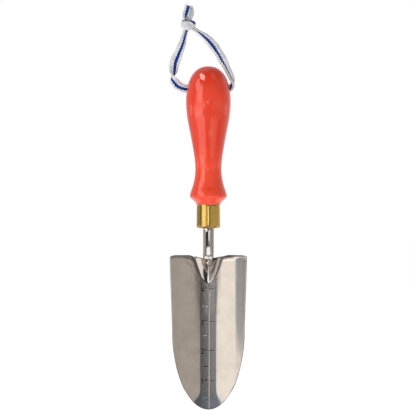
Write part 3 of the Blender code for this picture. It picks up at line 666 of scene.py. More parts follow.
def build_ferrule():
    """A cup with a rounded mouth at the top and an eye for the stem in its floor."""
    low, lip_z = FERRULE_BOTTOM_Z, FERRULE_TOP_Z - FERRULE_LIP
    outline = []
    for k in range(5):
        a = 0.5 * pi * k / 4
        outline.append((FERRULE_TOP_R - FERRULE_LIP * (1 - sin(a)),
                        FERRULE_TOP_Z - FERRULE_LIP * (1 - cos(a))))
    for k in range(1, 21):
        t = k / 20
        outline.append((FERRULE_TOP_R + (FERRULE_LOW_R - FERRULE_TOP_R) * ease(t),
                        lip_z + (low + CORNER_HIGH - lip_z) * t))
    for k in range(1, 15):
        a = 0.5 * pi * k / 14
        outline.append((FERRULE_LOW_R - CORNER_R * (1 - cos(a)),
                        low + CORNER_HIGH * (1 - sin(a))))
    outline += [(EYE_R + 0.25 * MM, low), (EYE_R, low + 0.2 * MM), (EYE_R, low + WALL)]
    inner = FERRULE_LOW_R - WALL - 0.15 * MM
    for k in range(8, -1, -1):
        a = 0.5 * pi * k / 8
        outline.append((inner - (CORNER_R - 0.5 * MM) * (1 - cos(a)),
                        low + WALL + (CORNER_HIGH - 0.3 * MM) * (1 - sin(a))))
    outline.append((inner, FERRULE_TOP_Z))
    attach(turned_solid("ferrule_cup", outline, 160, BRASS, 50), "trowel", "brass", "ferrule")


build_ferrule()

# ===================================================================== blade
SHEET = 1.5 * MM                                      # thickness
# the pan's middle strip is nearly flat, its sides curve forward
PAN_Y, STRIP_HALF, DISH_RATE, DISH_FULL = 8.0 * MM, 4.0 * MM, 27.3, 9.0 * MM
HOLLOW = 12.0                                         # slope per metre inside the strip
TIP_RISE, NOSE_HALF, FLARE = 66.0 * MM, 30.3 * MM, 0.0328
FLARE_BLEND = 10 * MM                                 # half height of the flare's start
NOSE_FLAT, NOSE_FLAT_Z, NOSE_FLAT_LEN = 0.5, 18.0 * MM, 12.0 * MM
SHOULDER_Z, CORNER_Z = 128.6 * MM, 126.6 * MM
# the fold that rises from the pan under the stem
RIDGE_EDGE_Z, RIDGE_CREST_Z, RIDGE_APEX_Z = 127.4 * MM, 124.6 * MM, 105.1 * MM
RIDGE_HALF, RIDGE_RISE, RIDGE_POWER = 11.6 * MM, 0.43, 1.5
CREST_ROUND = 0.10 * MM                               # tiny radius on the fold's crest
ROLL, ROLL_LEN, ROLL_MORE = 1.2 * MM, 4.8 * MM, 0.9 * MM   # top edge rolled back
SIDE_START_Z = 20.0 * MM                              # where the mesh's side edges start
RIM_R = 0.38 * MM                                     # rounding of the sheet's edge


def dish(x):
    """How far the pan's cross-section comes forward."""
    a = np.abs(x)
    full, width = DISH_RATE * DISH_FULL, DISH_FULL - STRIP_HALF
    t = np.clip((a - STRIP_HALF) / width, 0, 1)
    middle = full * width * (t ** 3 - 0.5 * t ** 4)
    outer = full * width * 0.5 + 0.5 * DISH_RATE * (a * a - DISH_FULL ** 2)
    # the strip itself is very slightly hollow
    u = np.clip(a, 0, 8 * MM)
    hollow = np.where(u < 4 * MM, 0.5 * HOLLOW * u * u,
                      HOLLOW * (8 * MM ** 2 + 4 * MM * (u - 4 * MM) - 0.5 * (u - 4 * MM) ** 2))
    return hollow + np.where(a > DISH_FULL, outer, middle)


def dish_slope(x):
    a = np.abs(x)
    return np.where(a > DISH_FULL, DISH_RATE * a,
                    DISH_RATE * DISH_FULL * ease((a - STRIP_HALF) / (DISH_FULL - STRIP_HALF)))


def nose(z):
    """Share of the dish that is left towards the tip."""
    return 1.0 - NOSE_FLAT * ease((NOSE_FLAT_Z - z) / NOSE_FLAT_LEN)


def ridge_share(z):
    return np.clip((z - RIDGE_APEX_Z) / (RIDGE_EDGE_Z - RIDGE_APEX_Z), 0, None)


def ridge_half(z, x):
    """Half width of the fold, a little wider on its left side."""
    k = ridge_share(z)
    return np.where(np.asarray(x) < 0, 13.3 * MM * k ** 0.42, 12.2 * MM * k ** 0.5)


def even_half(z):
    """Half width of the even fold that the stem is seated against."""
    return RIDGE_HALF * ridge_share(z) ** 0.6


def ridge(x, z, half):
    a = np.sqrt(x * x + CREST_ROUND ** 2) - CREST_ROUND
    k = np.clip(1 - a / np.maximum(half, 1e-9), 0, 1)
    return np.where(z > RIDGE_APEX_Z, RIDGE_RISE * (z - RIDGE_APEX_Z) * k ** RIDGE_POWER, 0.0)


def top_edge(x, power=0.62):
    """Height of the blade's top edge."""
    a = np.abs(x)
    inner = RIDGE_CREST_Z + (RIDGE_EDGE_Z - RIDGE_CREST_Z) \
        * (np.minimum(a, RIDGE_HALF) / RIDGE_HALF) ** power
    outer = RIDGE_EDGE_Z + (SHOULDER_Z - RIDGE_EDGE_Z) * ease((a - RIDGE_HALF) / (5 * MM))
    z = np.where(a <= RIDGE_HALF, inner, outer)
    far = np.clip((a - 26 * MM) / (6.3 * MM), 0, None)
    return z - (SHOULDER_Z - CORNER_Z) * far ** 3


def blade_front(x, z):
    """The sheet's front surface as y."""
    y = PAN_Y - dish(x) * nose(z) - ridge(x, z, ridge_half(z, x))
    k = np.clip(1 - (top_edge(x) - z) / ROLL_LEN, 0, 1)
    side = np.clip((np.abs(x) - RIDGE_HALF) / (4 * MM), 0, 1)
    return y + (ROLL + ROLL_MORE * ease((22 * MM - np.abs(x)) / (5 * MM))) * side * k ** 2


def even_front(x, z):
    """The front surface with the even fold and no roll."""
    return PAN_Y - dish(x) * nose(z) - ridge(x, z, even_half(z))


def slopes(x, z, front=blade_front):
    """Slope of a front surface along x and along z."""
    h = 0.05 * MM
    return ((front(x + h, z) - front(x - h, z)) / (2 * h),
            (front(x, z + h) - front(x, z - h)) / (2 * h))


def stretch_y(x, z, front=blade_front):
    """Depth along y of one unit of the sheet's thickness."""
    slope_x, slope_z = slopes(x, z, front)
    return np.sqrt(1 + slope_x * slope_x + slope_z * slope_z)


def depth_y(x, z):
    """Depth of the sheet along y, averaged over the sharp crest."""
    offsets = (-0.9 * MM, -0.45 * MM, 0.0, 0.45 * MM, 0.9 * MM)
    return SHEET * sum(stretch_y(x + offset, z) for offset in offsets) / len(offsets)


def outline_half(z):
    """Half width of the blade's outline."""
    low = 1 - (1 - np.clip(z, 0, None) / TIP_RISE) ** 2
    width = np.where(z < TIP_RISE, NOSE_HALF * np.sqrt(np.clip(low, 0, None)), NOSE_HALF)
    start = TIP_RISE - FLARE_BLEND
    return width + np.where(
        z > TIP_RISE + FLARE_BLEND, FLARE * (z - TIP_RISE),
        np.where(z > start, FLARE * (z - start) ** 2 / (4 * FLARE_BLEND), 0.0))


def front_half(z):
    """Half width of the front surface, inside the leaning sheet's edge."""
    width = outline_half(z)
    return width - SHEET * np.sin(np.arctan(dish_slope(width) * nose(z)))


TIP_HEIGHTS = np.linspace(0.0, TIP_RISE, 6000)
TIP_HALVES = np.maximum.accumulate(front_half(TIP_HEIGHTS))

# Depth scale on the front, in mm: heights of its long and short marks
FULL_Z, HALF_Z = (23.9, 49.0, 73.2, 100.1), (9.9, 35.9, 61.7, 85.9)
NUMERAL_WIDE, NUMERAL_HIGH, NUMERAL_X = 2.7, 4.1, -6.1
# each numeral as strokes between (x, z) points of a unit box
DIGITS = {
    1: [((0.25, 0.78), (0.55, 1.0)), ((0.55, 1.0), (0.55, 0.0))],
    2: [((0.05, 0.80), (0.30, 1.0)), ((0.30, 1.0), (0.75, 0.97)), ((0.75, 0.97), (0.95, 0.72)),
        ((0.95, 0.72), (0.05, 0.0)), ((0.05, 0.0), (1.0, 0.0))],
    3: [((0.05, 0.92), (0.50, 1.0)), ((0.50, 1.0), (0.90, 0.80)), ((0.90, 0.80), (0.45, 0.54)),
        ((0.45, 0.54), (0.95, 0.30)), ((0.95, 0.30), (0.55, 0.0)), ((0.55, 0.0), (0.02, 0.10))],
    4: [((0.75, 0.0), (0.75, 1.0)), ((0.75, 1.0), (0.0, 0.32)), ((0.0, 0.32), (1.05, 0.32))],
}
# painted shade lines along two bent creases on the left shoulder: x0, z0, x1, z1, half width in mm,
# darkness
CREASE_SHADE_LINES = ((-18.4, 123.2, -13.7, 119.0, 0.95, 0.24), (-19.8, 127.2, -16.0, 126.1, 0.70, 0.55),
           (-16.0, 126.1, -13.0, 124.0, 0.70, 0.50))


def scale_strokes():
    """Strokes as x0, z0, x1, z1, half width, depth in mm, and darkness, where a value
    below zero is a dull pale scratch."""
    strokes = [(0.4, 1.2, 0.4, FULL_Z[3] - 1.0, 0.25, 0.16, 0.25)]
    for k, z in enumerate(HALF_Z):
        strokes.append((-4.3, z, -0.6, z, 0.36, 0.02, 1.15) if k == 1
                       else (-5.2, z, -0.8, z, 0.22, 0.012, -0.9))
    for k, z in enumerate(FULL_Z):
        strokes.append((0.9, z, 4.6, z, 0.30, 0.022, 1.0))
        foot = z - 2.6
        for (ax, az), (bx, bz) in DIGITS[k + 1]:
            strokes.append((NUMERAL_X + ax * NUMERAL_WIDE, foot + az * NUMERAL_HIGH,
                            NUMERAL_X + bx * NUMERAL_WIDE, foot + bz * NUMERAL_HIGH,
                            0.36, 0.020, 1.15))
        for x in (-2.45, -1.5):                       # inch mark
            strokes.append((x, foot + 0.66 * NUMERAL_HIGH, x, foot + 1.0 * NUMERAL_HIGH,
                            0.30, 0.02, 1.15))
    return strokes


def darker(marks, more):
    """Whichever mark is the stronger."""
    return np.where(np.abs(more) > np.abs(marks), more, marks)


def engrave(x, z):
    """Darkness of the scale and its depth in mm, at x and z in mm."""
    marks, depth = np.zeros_like(x), np.zeros_like(x)
    for ax, az, bx, bz, half, cut, ink in scale_strokes():
        near = (x > min(ax, bx) - 1) & (x < max(ax, bx) + 1) \
            & (z > min(az, bz) - 1) & (z < max(az, bz) + 1)
        away = off_segment(x, z, ax, az, bx, bz)
        groove = np.where(near, np.exp(-(away / half) ** 2), 0.0)
        lip = np.where(near, np.exp(-((away - 2.1 * half) / (0.7 * half)) ** 2), 0.0)
        depth = np.maximum(groove * cut, depth) - 0.05 * cut * lip * (groove < 0.2)
        marks = darker(marks, np.minimum(1.0, 1.7 * groove) * ink)
    return marks, depth


def painted_shade_layers(x, z):
    """Layers of painted shade over the front surface."""
    # painted shade on the rolled top edge where it turns over, most beside the fold
    rolled = np.clip(1 - (top_edge(x) - z) / ROLL_LEN, 0, 1)
    beside = ease((np.abs(x) - RIDGE_HALF) / (3 * MM))
    near_fold = 1 - ease((x - 19 * MM) / (4 * MM))
    right = 0.50 * near_fold * ease((rolled - 0.08) / 0.35) \
        + (0.78 - 0.33 * near_fold) * ease((rolled - 0.45) / 0.37) \
        * (1 - 0.2 * ease((x - 25 * MM) / (5 * MM)))
    left = 0.34 * ease((rolled - 0.50) / 0.30)
    edge = beside * np.where(x > 0, right, left)
    # painted shade along the creases on the left shoulder
    crease = np.zeros_like(x)
    for *ends, half, ink in CREASE_SHADE_LINES:
        away = off_segment(x / MM, z / MM, *ends)
        crease = np.maximum(crease, ink * np.exp(-(away / half) ** 2))
    # painted shadow on the fold's flanks under the top edge, heavier on the right
    low = 0.42 + 0.30 * ease((x - 5.5 * MM) / (3 * MM))
    flank_shadow = ease((x - 2.5 * MM) / MM) * (1 - beside) * ease((rolled - low) / 0.25) * 0.92
    flank_shadow = np.maximum(flank_shadow, 0.42 * ease((-x - 2.5 * MM) / MM) * (1 - beside)
                       * ease((rolled - 0.62) / 0.25))
    # painted shade: dark lines in the valleys on each side of the fold
    valley_shade = np.exp(-((np.abs(x) - ridge_half(z, x) + 0.3 * MM) / (1.0 * MM)) ** 2) \
        * ease((z - 107 * MM) / (5 * MM)) * np.where(x > 0, 0.66, 0.85)
    # painted shadow left of the weld that ran down the crest
    weld_run_shadow = 0.95 * np.exp(-((x + 1.35 * MM) / (0.75 * MM)) ** 2) \
        * ease((z - 115.5 * MM) / (1.5 * MM))
    return edge, crease, flank_shadow, valley_shade, weld_run_shadow


def blade_columns():
    """Column places from -1 to 1: fine over the depth scale, wider towards the sides.
    Steps are mm on a blade with the nominal half width."""
    nominal = 31.3
    right = [0.0]
    while right[-1] < 1.0:
        x = right[-1] * nominal
        step = 0.17 if x < 6.6 else min(0.75, 0.17 + 0.09 * (x - 6.6))
        if x > 29.0:
            step = 0.6
        right.append(right[-1] + step / nominal)
    right = np.array(right[:-1] + [1.0])
    if right[-1] - right[-2] < 0.3 / nominal:
        right = np.delete(right, -2)
    return np.concatenate([-right[:0:-1], right])


def blade_rows():
    """Row places from 0 to 1: fine where a mark or a numeral crosses."""
    # from, to and step in mm
    zones = [(122.5, 129.5, 0.40)]
    zones += [(z - 3.4, z + 2.3, 0.17) for z in FULL_Z]
    zones += [(z - 1.0, z + 1.0, 0.15) for z in HALF_Z]
    rows = [0.0]
    while rows[-1] < 128.0:
        z = rows[-1]
        step = 0.42 if z > 103.0 else 0.85 if z > 2.0 else 0.45
        for low, high, fine in zones:
            if low <= z <= high:
                step = min(step, fine)
            elif z < low < z + step:
                step = max(0.1, low - z)
        rows.append(z + step)
    return np.array(rows) / rows[-1]


def blade_surfaces():
    """Grids of front and back points, before the scale is cut."""
    side_top = float(top_edge(outline_half(CORNER_Z)))
    up, across = np.meshgrid(blade_rows(), blade_columns(), indexing="ij")
    x = across * front_half(SIDE_START_Z + (side_top - SIDE_START_Z) * up)
    z_low = np.interp(np.abs(across) * float(front_half(SIDE_START_Z)), TIP_HALVES, TIP_HEIGHTS)
    z_high = top_edge(across * float(front_half(side_top)))
    z = z_low + (z_high - z_low) * up
    front = np.stack([x, blade_front(x, z), z], -1)
    # offset square to the pan, but straight back behind the fold
    slope_x, slope_z = slopes(x, z)
    length = np.sqrt(1 + slope_x * slope_x + slope_z * slope_z)
    normal = np.stack([-slope_x / length, 1 / length, -slope_z / length], -1)
    straight = front + np.stack([0 * x, depth_y(x, z), 0 * x], -1)
    k = (ease((z - 98 * MM) / (8 * MM)) * ease((15.5 * MM - np.abs(x)) / (3.5 * MM)))[..., None]
    return front, (front + SHEET * normal) * (1 - k) + straight * k


def round_rim(front, back, i, j):
    """Pull in both surfaces' outer vertices (rows i, columns j) and return the eight
    rings that round the edge between them."""
    rows, cols, _ = front.shape
    f, b = front[i, j], back[i, j]
    along = unit(np.roll(f, -1, 0) - np.roll(f, 1, 0))
    through = unit(b - f)
    inward = front[np.clip(i, 1, rows - 2), np.clip(j, 1, cols - 2)] - f
    for axis in (along, through):
        inward = inward - axis * (inward * axis).sum(1)[:, None]
    inward = unit(inward)
    front[i, j] = f + inward * RIM_R
    back[i, j] = b + inward * RIM_R
    front_rings, back_rings = [], []
    for a in np.radians((22.5, 45, 67.5, 90)):
        pulled, deep = inward * RIM_R * (1 - sin(a)), through * RIM_R * (1 - cos(a))
        front_rings.append(f + pulled + deep)
        back_rings.append(b + pulled - deep)
    return front_rings + back_rings[::-1]


def build_blade():
    front, back = blade_surfaces()
    x, z = front[..., 0].copy(), front[..., 2].copy()
    groove, depth = engrave(x / MM, z / MM)
    front[..., 1] += depth * MM
    # painted shade from these layers joins the scale's marks
    for layer in painted_shade_layers(x, z):
        groove = darker(groove, layer)

    # painted shade: the rim is darkened around the tip, more on the right
    reach = np.minimum.reduce([np.linalg.norm(front - edge, axis=-1) for edge in
                               (front[:1], front[:, :1], front[:, -1:])])
    rim_shade = np.clip(1.25 - reach / (0.75 * MM), 0, 1)
    rim_shade = 0.85 * rim_shade * ease((36 * MM - z) / (20 * MM)) * np.where(x > 0, 1.0, 0.6)
    groove = darker(groove, rim_shade)

    rows, cols = x.shape
    loop = [(0, j) for j in range(cols)] + [(i, cols - 1) for i in range(1, rows)] \
        + [(rows - 1, j) for j in range(cols - 2, -1, -1)] + [(i, 0) for i in range(rows - 2, 0, -1)]
    i, j = np.array(loop).T
    rings = round_rim(front, back, i, j)

    count, around_rim = rows * cols, len(loop)
    index = np.arange(count).reshape(rows, cols)
    corners = [index[:-1, :-1], index[:-1, 1:], index[1:, 1:], index[1:, :-1]]
    faces = list(zip(*(corner.ravel() for corner in corners)))
    faces += list(zip(*((corner + count).ravel() for corner in reversed(corners))))
    ids = [index[i, j]]
    ids += [2 * count + k * around_rim + np.arange(around_rim) for k in range(8)]
    ids.append(count + index[i, j])
    for here, after in zip(ids, ids[1:]):
        faces += zip(np.roll(here, -1), here, after, np.roll(after, -1))
    verts = np.vstack([front.reshape(-1, 3), back.reshape(-1, 3)] + rings)
    mesh = make_mesh("blade_sheet", verts, faces)
    outward(mesh)
    add_attributes(
        mesh,
        groove=np.concatenate([groove.ravel(), np.zeros(count), np.tile(rim_shade[i, j], 8)]),
        back=np.concatenate([np.zeros(count), np.ones(count),
                             np.repeat([0, 0, 0, .3, .7, 1, 1, 1], around_rim)]))
    smooth(mesh, 75)
    attach(make_object("blade_sheet", mesh, SHEET_METAL), "trowel", "polished_sheet", "blade")


build_blade()

# ====================================================================== stem
LEAN_TOP_Z, LEAN = 151.5 * MM, radians(18.0)
CRANK_LOW_Z, CRANK_END_LEAN = 123.8 * MM, radians(9.0)
STEM_END_Z, STEM_END_R = 110.5 * MM, 2.2 * MM
TANG_PATH_Z = (226, 212, 199, 186, 172, 166, 160, 156, 154, 152.5, 151.5)   # straight part, mm


def stem_radius(z):
    if z > TANG_TAPER_Z:
        return STEM_R + (TANG_TIP_R - STEM_R) * (z - TANG_TAPER_Z) / (TANG_TOP_Z - TANG_TAPER_Z)
    if z >= CRANK_LOW_Z:
        return STEM_R
    t = (CRANK_LOW_Z - z) / (CRANK_LOW_Z - STEM_END_Z)
    return STEM_R + (STEM_END_R - STEM_R) * min(1.0, t) ** 1.3


def seat(z, r):
    """Axis y at which a bar of radius r just touches the sheet's back."""
    x = 0.98 * r * np.arange(41) / 40
    back = even_front(x, z) + SHEET * stretch_y(x, z, even_front)
    return float(np.max(back + np.sqrt(r * r - x * x)))


def crank_line(steep):
    """(y, z) points down the crank, whose middle leans by `steep`."""
    entering = LEAN + 0.4 * (steep - LEAN)
    lean = ((0.0, 0.0), (3.0 * MM, 0.9 * LEAN), (9.5 * MM, 1.05 * LEAN), (13.0 * MM, entering),
            (16.5 * MM, steep), (20.0 * MM, steep), (23.5 * MM, entering),
            (LEAN_TOP_Z - CRANK_LOW_Z, CRANK_END_LEAN))
    out, y, count = [], 0.0, 190
    drop = (LEAN_TOP_Z - CRANK_LOW_Z) / count
    for k in range(1, count + 1):
        y += tan(through_table(lean, (k - 0.5) * drop)) * drop
        out.append((y, LEAN_TOP_Z - k * drop))
    return out


def stem_path():
    """(y, z) of the axis: straight tang, crank, then down the back of the fold."""
    clear = GAP + 0.35 * MM
    # find the lean that brings the crank's end behind the blade
    shift = seat(RIDGE_CREST_Z, STEM_R) + clear
    low, high = LEAN, radians(60)
    for _ in range(30):
        steep = 0.5 * (low + high)
        line = crank_line(steep)
        if line[-1][0] < shift:
            low = steep
        else:
            high = steep
    path = [(0.0, z * MM) for z in TANG_PATH_Z] + line[1::2]
    y_low = path[-1][0]
    tail = [path[-1]]
    for k in range(1, 6):
        z = CRANK_LOW_Z + (STEM_END_Z - CRANK_LOW_Z) * k / 5
        y_low = max(y_low, seat(z, stem_radius(z)) + clear)
        tail.append((y_low, z))
    for (y0, z0), (y1, z1) in zip(tail, tail[1:]):
        path += [(y0 + (y1 - y0) * j / 6, z0 + (z1 - z0) * j / 6) for j in range(1, 7)]
    return path


STEM_PATH = stem_path()


def stem_axis_y(z):
    for (y0, z0), (y1, z1) in zip(STEM_PATH, STEM_PATH[1:]):
        if z1 <= z <= z0:
            return y0 + (y1 - y0) * (z - z0) / (z1 - z0)
    return STEM_PATH[-1][0]


def build_stem():
    path = np.array([(0.0, y, z) for y, z in STEM_PATH])
    ahead = tangents(path)
    for _ in range(3):
        ahead[1:-1] = 0.25 * ahead[:-2] + 0.5 * ahead[1:-1] + 0.25 * ahead[2:]
    ahead = unit(ahead)
    radii = np.array([stem_radius(z) for z in path[:, 2]])
    # small chamfer on the tang's end, rounded lower end
    stations = [(path[0], ahead[0], radii[0] * 0.6),
                (path[0] + ahead[0] * 0.6 * MM, ahead[0], radii[0])]
    stations += zip(path[1:], ahead[1:], radii[1:])
    for share, out in ((0.90, 0.35), (0.68, 0.68), (0.38, 0.90)):
        stations.append((path[-1] + ahead[-1] * out * 0.5 * radii[-1], ahead[-1],
                         radii[-1] * share))
    centres, ahead, radii = (np.array(column) for column in zip(*stations))
    turn, x_axis = around(72), np.array([[1.0, 0, 0]])
    rings = section_rings(centres, x_axis, np.cross(ahead, x_axis),
                          radii[:, None] * np.cos(turn), radii[:, None] * np.sin(turn))
    mesh = tube_mesh("stem_bar", rings)
    smooth(mesh, 50)
    attach(make_object("stem_bar", mesh, BAR), "trowel", "bright_bar", "stem")


build_stem()

# ===================================================================== welds
BEAD_R = 1.0 * MM                                     # nominal, for placing the beads


def bead(name, points, radii, seed, *pieces):
    """A rippled weld bead along the points."""
    rows = spline_table(np.hstack([np.asarray(points), np.asarray(radii)[:, None]]), 0.16 * MM)
    centres, r = rows[:, :3], rows[:, 3]
    ahead = tangents(centres)
    run = run_length(centres)

    def taper(distance):
        return np.sqrt(np.clip(1 - np.clip(1 - distance / (1.1 * r), 0, 1) ** 2, 0, 1))

    end = taper(run) * taper(run[-1] - run)
    turn = around(28)
    side = unit(np.cross(ahead, [0.01, 1.01, 0.01]))
    ripple = 1 + 0.10 * np.abs(np.sin(pi * (run / (0.85 * MM))))[:, None] \
        + 0.03 * np.sin(2 * turn + seed)[None, :]
    lumps = np.array([[noise.noise(Vector((s * 900 + seed * 3, cos(a) * 0.8, sin(a) * 0.8)))
                       for a in turn] for s in run])
    reach = (r * np.maximum(end, 0.03))[:, None] * (ripple + 0.14 * lumps)
    mesh = tube_mesh(name, section_rings(centres, side, np.cross(ahead, side),
                                         reach * np.cos(turn), reach * np.sin(turn)))
    smooth(mesh, 60)
    attach(make_object(name, mesh, WELD), "trowel", "weld_metal", *pieces)


def front_weld():
    """Across the stem's front, above the blade's top edge."""
    points = []
    reach = STEM_R + BEAD_R + GAP - 0.35 * MM
    for k in range(-5, 6):
        x = 3.6 * MM * k / 5
        z = float(top_edge(x, 1.2)) + BEAD_R + GAP + 0.55 * MM
        lean = (stem_axis_y(z - 1 * MM) - stem_axis_y(z + 1 * MM)) / (2 * MM)
        y = stem_axis_y(z) - sqrt(reach ** 2 - x * x) * sqrt(1 + lean * lean)
        points.append((x, y, z - 0.55 * MM + 0.12 * MM * sin(2.1 * k)))
    radii = [1.50 * MM + 0.20 * MM * sin(1.7 * k + 0.6) for k in range(11)]
    radii[0] = radii[-1] = 0.85 * MM
    bead("weld_bead_front", points, radii, 1.3, "weld_front")


def crest_run():
    """Weld that ran a little way down the fold's crest."""
    points = []
    for k in range(6):
        x, z = 0.35 * MM * sin(1.9 * k), (124.4 - 1.35 * k) * MM
        points.append((x, float(blade_front(x, z)) + 0.10 * MM, z))
    bead("weld_run", points, [r * MM for r in (1.60, 1.30, 1.50, 1.00, 0.80, 0.40)], 4.1)


def back_weld(side, name, piece):
    """Down the corner between the stem and the sheet's back."""
    clear = BEAD_R + GAP - 0.30 * MM
    points = []
    for k in range(7):
        z = (122.6 + (112.6 - 122.6) * k / 6) * MM
        reach = stem_radius(z) + clear
        # turn round the stem from its front until the bead clears the sheet
        for degrees in range(40, 175):
            a = radians(degrees)
            x, y = reach * sin(a), stem_axis_y(z) - reach * cos(a)
            back = float(blade_front(x, z) + depth_y(x, z))
            if (y - back) / stretch_y(x, z) >= clear:
                break
        points.append((side * x, y, z))
    radii = [(1.10 + 0.12 * sin(2.3 * k + side)) * MM for k in range(7)]
    radii[0] = radii[-1] = 0.8 * MM
    bead(name, points, radii, 2.0 + side, piece)


front_weld()
crest_run()
back_weld(-1, "weld_bead_back_left", "weld_back_left")
back_weld(1, "weld_bead_back_right", "weld_back_right")

# ====================================================================== cord
# centre line of the tape in mm: x, y, z, half width, twist in degrees, stripe shows
TAPE_LINE = (
    # left tail, from its cut end down into the knot
    (-16.8, -1.3, 334.7, 2.4, 0, 1.5), (-17.5, -1.5, 331.6, 2.8, -6, 1.5),
    (-18.5, -1.5, 328.4, 2.8, -4, 1.3), (-19.4, -1.2, 325.4, 2.1, 8, 1),
    (-19.0, -0.8, 322.4, 1.6, 20, 0), (-17.6, -0.3, 319.2, 1.7, 25, 0),
    # left strand
    (-17.9, -0.2, 316.4, 1.9, 28, 1), (-19.3, -0.5, 312.4, 2.2, 22, 1),
    (-20.3, -0.6, 308.6, 2.5, 12, 1), (-21.2, -0.6, 304.8, 2.9, 5, 1),
    (-23.0, -0.4, 299.8, 3.4, 0, 1), (-25.0, 0.0, 294.8, 3.8, -4, 1),
    (-27.3, 0.4, 289.6, 4.2, -2, 1), (-28.5, 0.6, 284.8, 4.0, 6, 1),
    (-28.9, 0.7, 281.0, 3.6, 22, 1), (-29.3, 0.7, 278.0, 3.1, 60, 1),
    (-29.2, 0.6, 275.0, 3.2, 130, 1), (-27.9, 0.5, 271.9, 3.6, 168, 1),
    (-25.3, 0.3, 268.9, 3.8, 178, 1), (-21.6, 0.1, 266.9, 3.7, 182, 1),
    # through the handle's hole
    (-17.5, 0.0, 266.1, 3.45, 184, 1), (-12.0, 0.0, 265.9, 3.4, 184, 1),
    (0.0, 0.0, 265.9, 3.4, 184, 1), (12.0, 0.0, 265.9, 3.4, 184, 1),
    # right strand
    (16.0, -0.1, 266.2, 3.2, 186, 1), (18.6, -0.5, 267.3, 2.9, 200, 1),
    (19.9, -0.8, 269.2, 2.6, 235, 1), (20.1, -0.9, 271.8, 2.5, 290, .8),
    (19.5, -0.9, 274.4, 2.6, 332, .5), (18.1, -0.9, 277.6, 2.7, 348, .42),
    (16.0, -0.8, 281.9, 2.8, 356, .5), (13.8, -0.6, 286.4, 3.3, 360, .6),
    (11.3, -0.3, 291.0, 3.6, 364, .75), (8.6, 0.0, 295.4, 3.6, 362, .85),
    (4.9, 0.4, 300.9, 3.75, 358, 1), (1.2, 0.7, 305.3, 3.7, 352, 1),
    (-2.6, 0.6, 308.9, 3.1, 350, 1), (-6.5, 0.2, 311.7, 2.4, 344, 1),
    (-11.1, -0.3, 315.0, 1.9, 340, 0), (-15.0, -0.1, 318.2, 1.6, 345, 0),
    # right tail, up out of the knot
    (-16.2, 0.5, 321.0, 1.7, 345, 0), (-15.9, 1.1, 324.0, 2.0, 355, 0),
    (-14.6, 1.4, 327.4, 2.5, 362, 0), (-14.3, 1.4, 330.6, 2.4, 372, 0),
    (-15.0, 1.1, 333.8, 2.0, 380, 0),
)
TAPE_THICK = 0.85 * MM                                # half thickness
KNOT_X, KNOT_Z = -16.9 * MM, 319.1 * MM               # the knot's centre, at y = 0


def build_tape():
    """The whole length of tape; returns its centre line and the directions of its width
    and its thickness."""
    rows = spline_table(np.array(TAPE_LINE) * (MM, MM, MM, MM, 1, 1), 0.36 * MM)
    centres, half = rows[:, :3], rows[:, 3]
    twist, shown = np.radians(rows[:, 4])[:, None], np.clip(rows[:, 5], 0, 1.6)
    ahead = tangents(centres)
    run = run_length(centres)
    # towards the inner side of the loop, then twisted
    inner = unit(np.cross(ahead, np.array([0.0, 1.0, 0.0])))
    side = inner * np.cos(twist) + np.cross(inner, ahead) * np.sin(twist)
    face = np.cross(side, ahead)
    segs = 40
    turn = around(segs)
    # squarish oval section
    wide, high = signed_power(np.cos(turn), 0.72), signed_power(np.sin(turn), 0.62)
    # softly crumpled: the section bows, and its thickness varies
    at = run / MM
    bow = 0.42 * MM * np.sin(at / 9.3 + 0.7) + 0.22 * MM * np.sin(at / 3.7 + 2.0)
    thick = TAPE_THICK * (1 + 0.10 * np.sin(at / 5.1) + 0.08 * np.sin(at / 2.3 + 1))
    narrow = np.clip(1 - half / TAPE_HALF, 0, 0.5)
    thick = thick * (1 + 1.3 * narrow)                # gathered where it is narrow
    at, narrow = at[:, None], narrow[:, None]
    scallop = 1 + 0.028 * np.sin(2 * pi * at / STITCH) * (np.abs(wide) > 0.7) \
        + 0.035 * np.sin(at / 1.9 + 3 * np.sign(wide))
    # ribs of stitches stand proud, front and back
    ribs = np.abs(np.sin(pi * (wide * 2.25 + 0.25)))
    herring = np.sin(2 * pi * (at / STITCH + 0.65 * np.abs(((wide * 2.25) % 1.0) - 0.5) * 2))
    relief = (0.055 * MM * ribs + 0.040 * MM * herring) * np.abs(high)
    # lengthwise pleats where the tape is gathered into the knot
    pleat = np.cos(wide * 5.2 + 0.4 * np.sin(at / 6.0))
    height = thick[:, None] * high + np.sign(high) * relief \
        + bow[:, None] * (1 - wide ** 2) * 0.8 + narrow * 1.5 * MM * pleat * 0.55
    # painted shade down in the pleats
    crease = np.clip(-pleat * narrow * 0.5, 0, 1)
    mesh = tube_mesh("cord_tape", section_rings(centres, side, face,
                                                half[:, None] * wide * scallop, height))
    # the two last values are the cap points'
    add_attributes(mesh, across=np.append(np.tile(wide, len(run)), [0, 0]),
                   along=np.append(np.repeat(run, segs), [run[0], run[-1]]),
                   stripe=np.append(np.repeat(shown, segs), [0, 0]),
                   crease=np.append(crease.ravel(), [0, 0]))
    smooth(mesh, 70)
    tape = make_object("cord_tape", mesh, TAPE)
    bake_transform(tape)
    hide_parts("cord_lower", "cord_upper")
    return centres, side, face


def signed_degrees(angles):
    return (np.degrees(angles) + 180) % 360 - 180


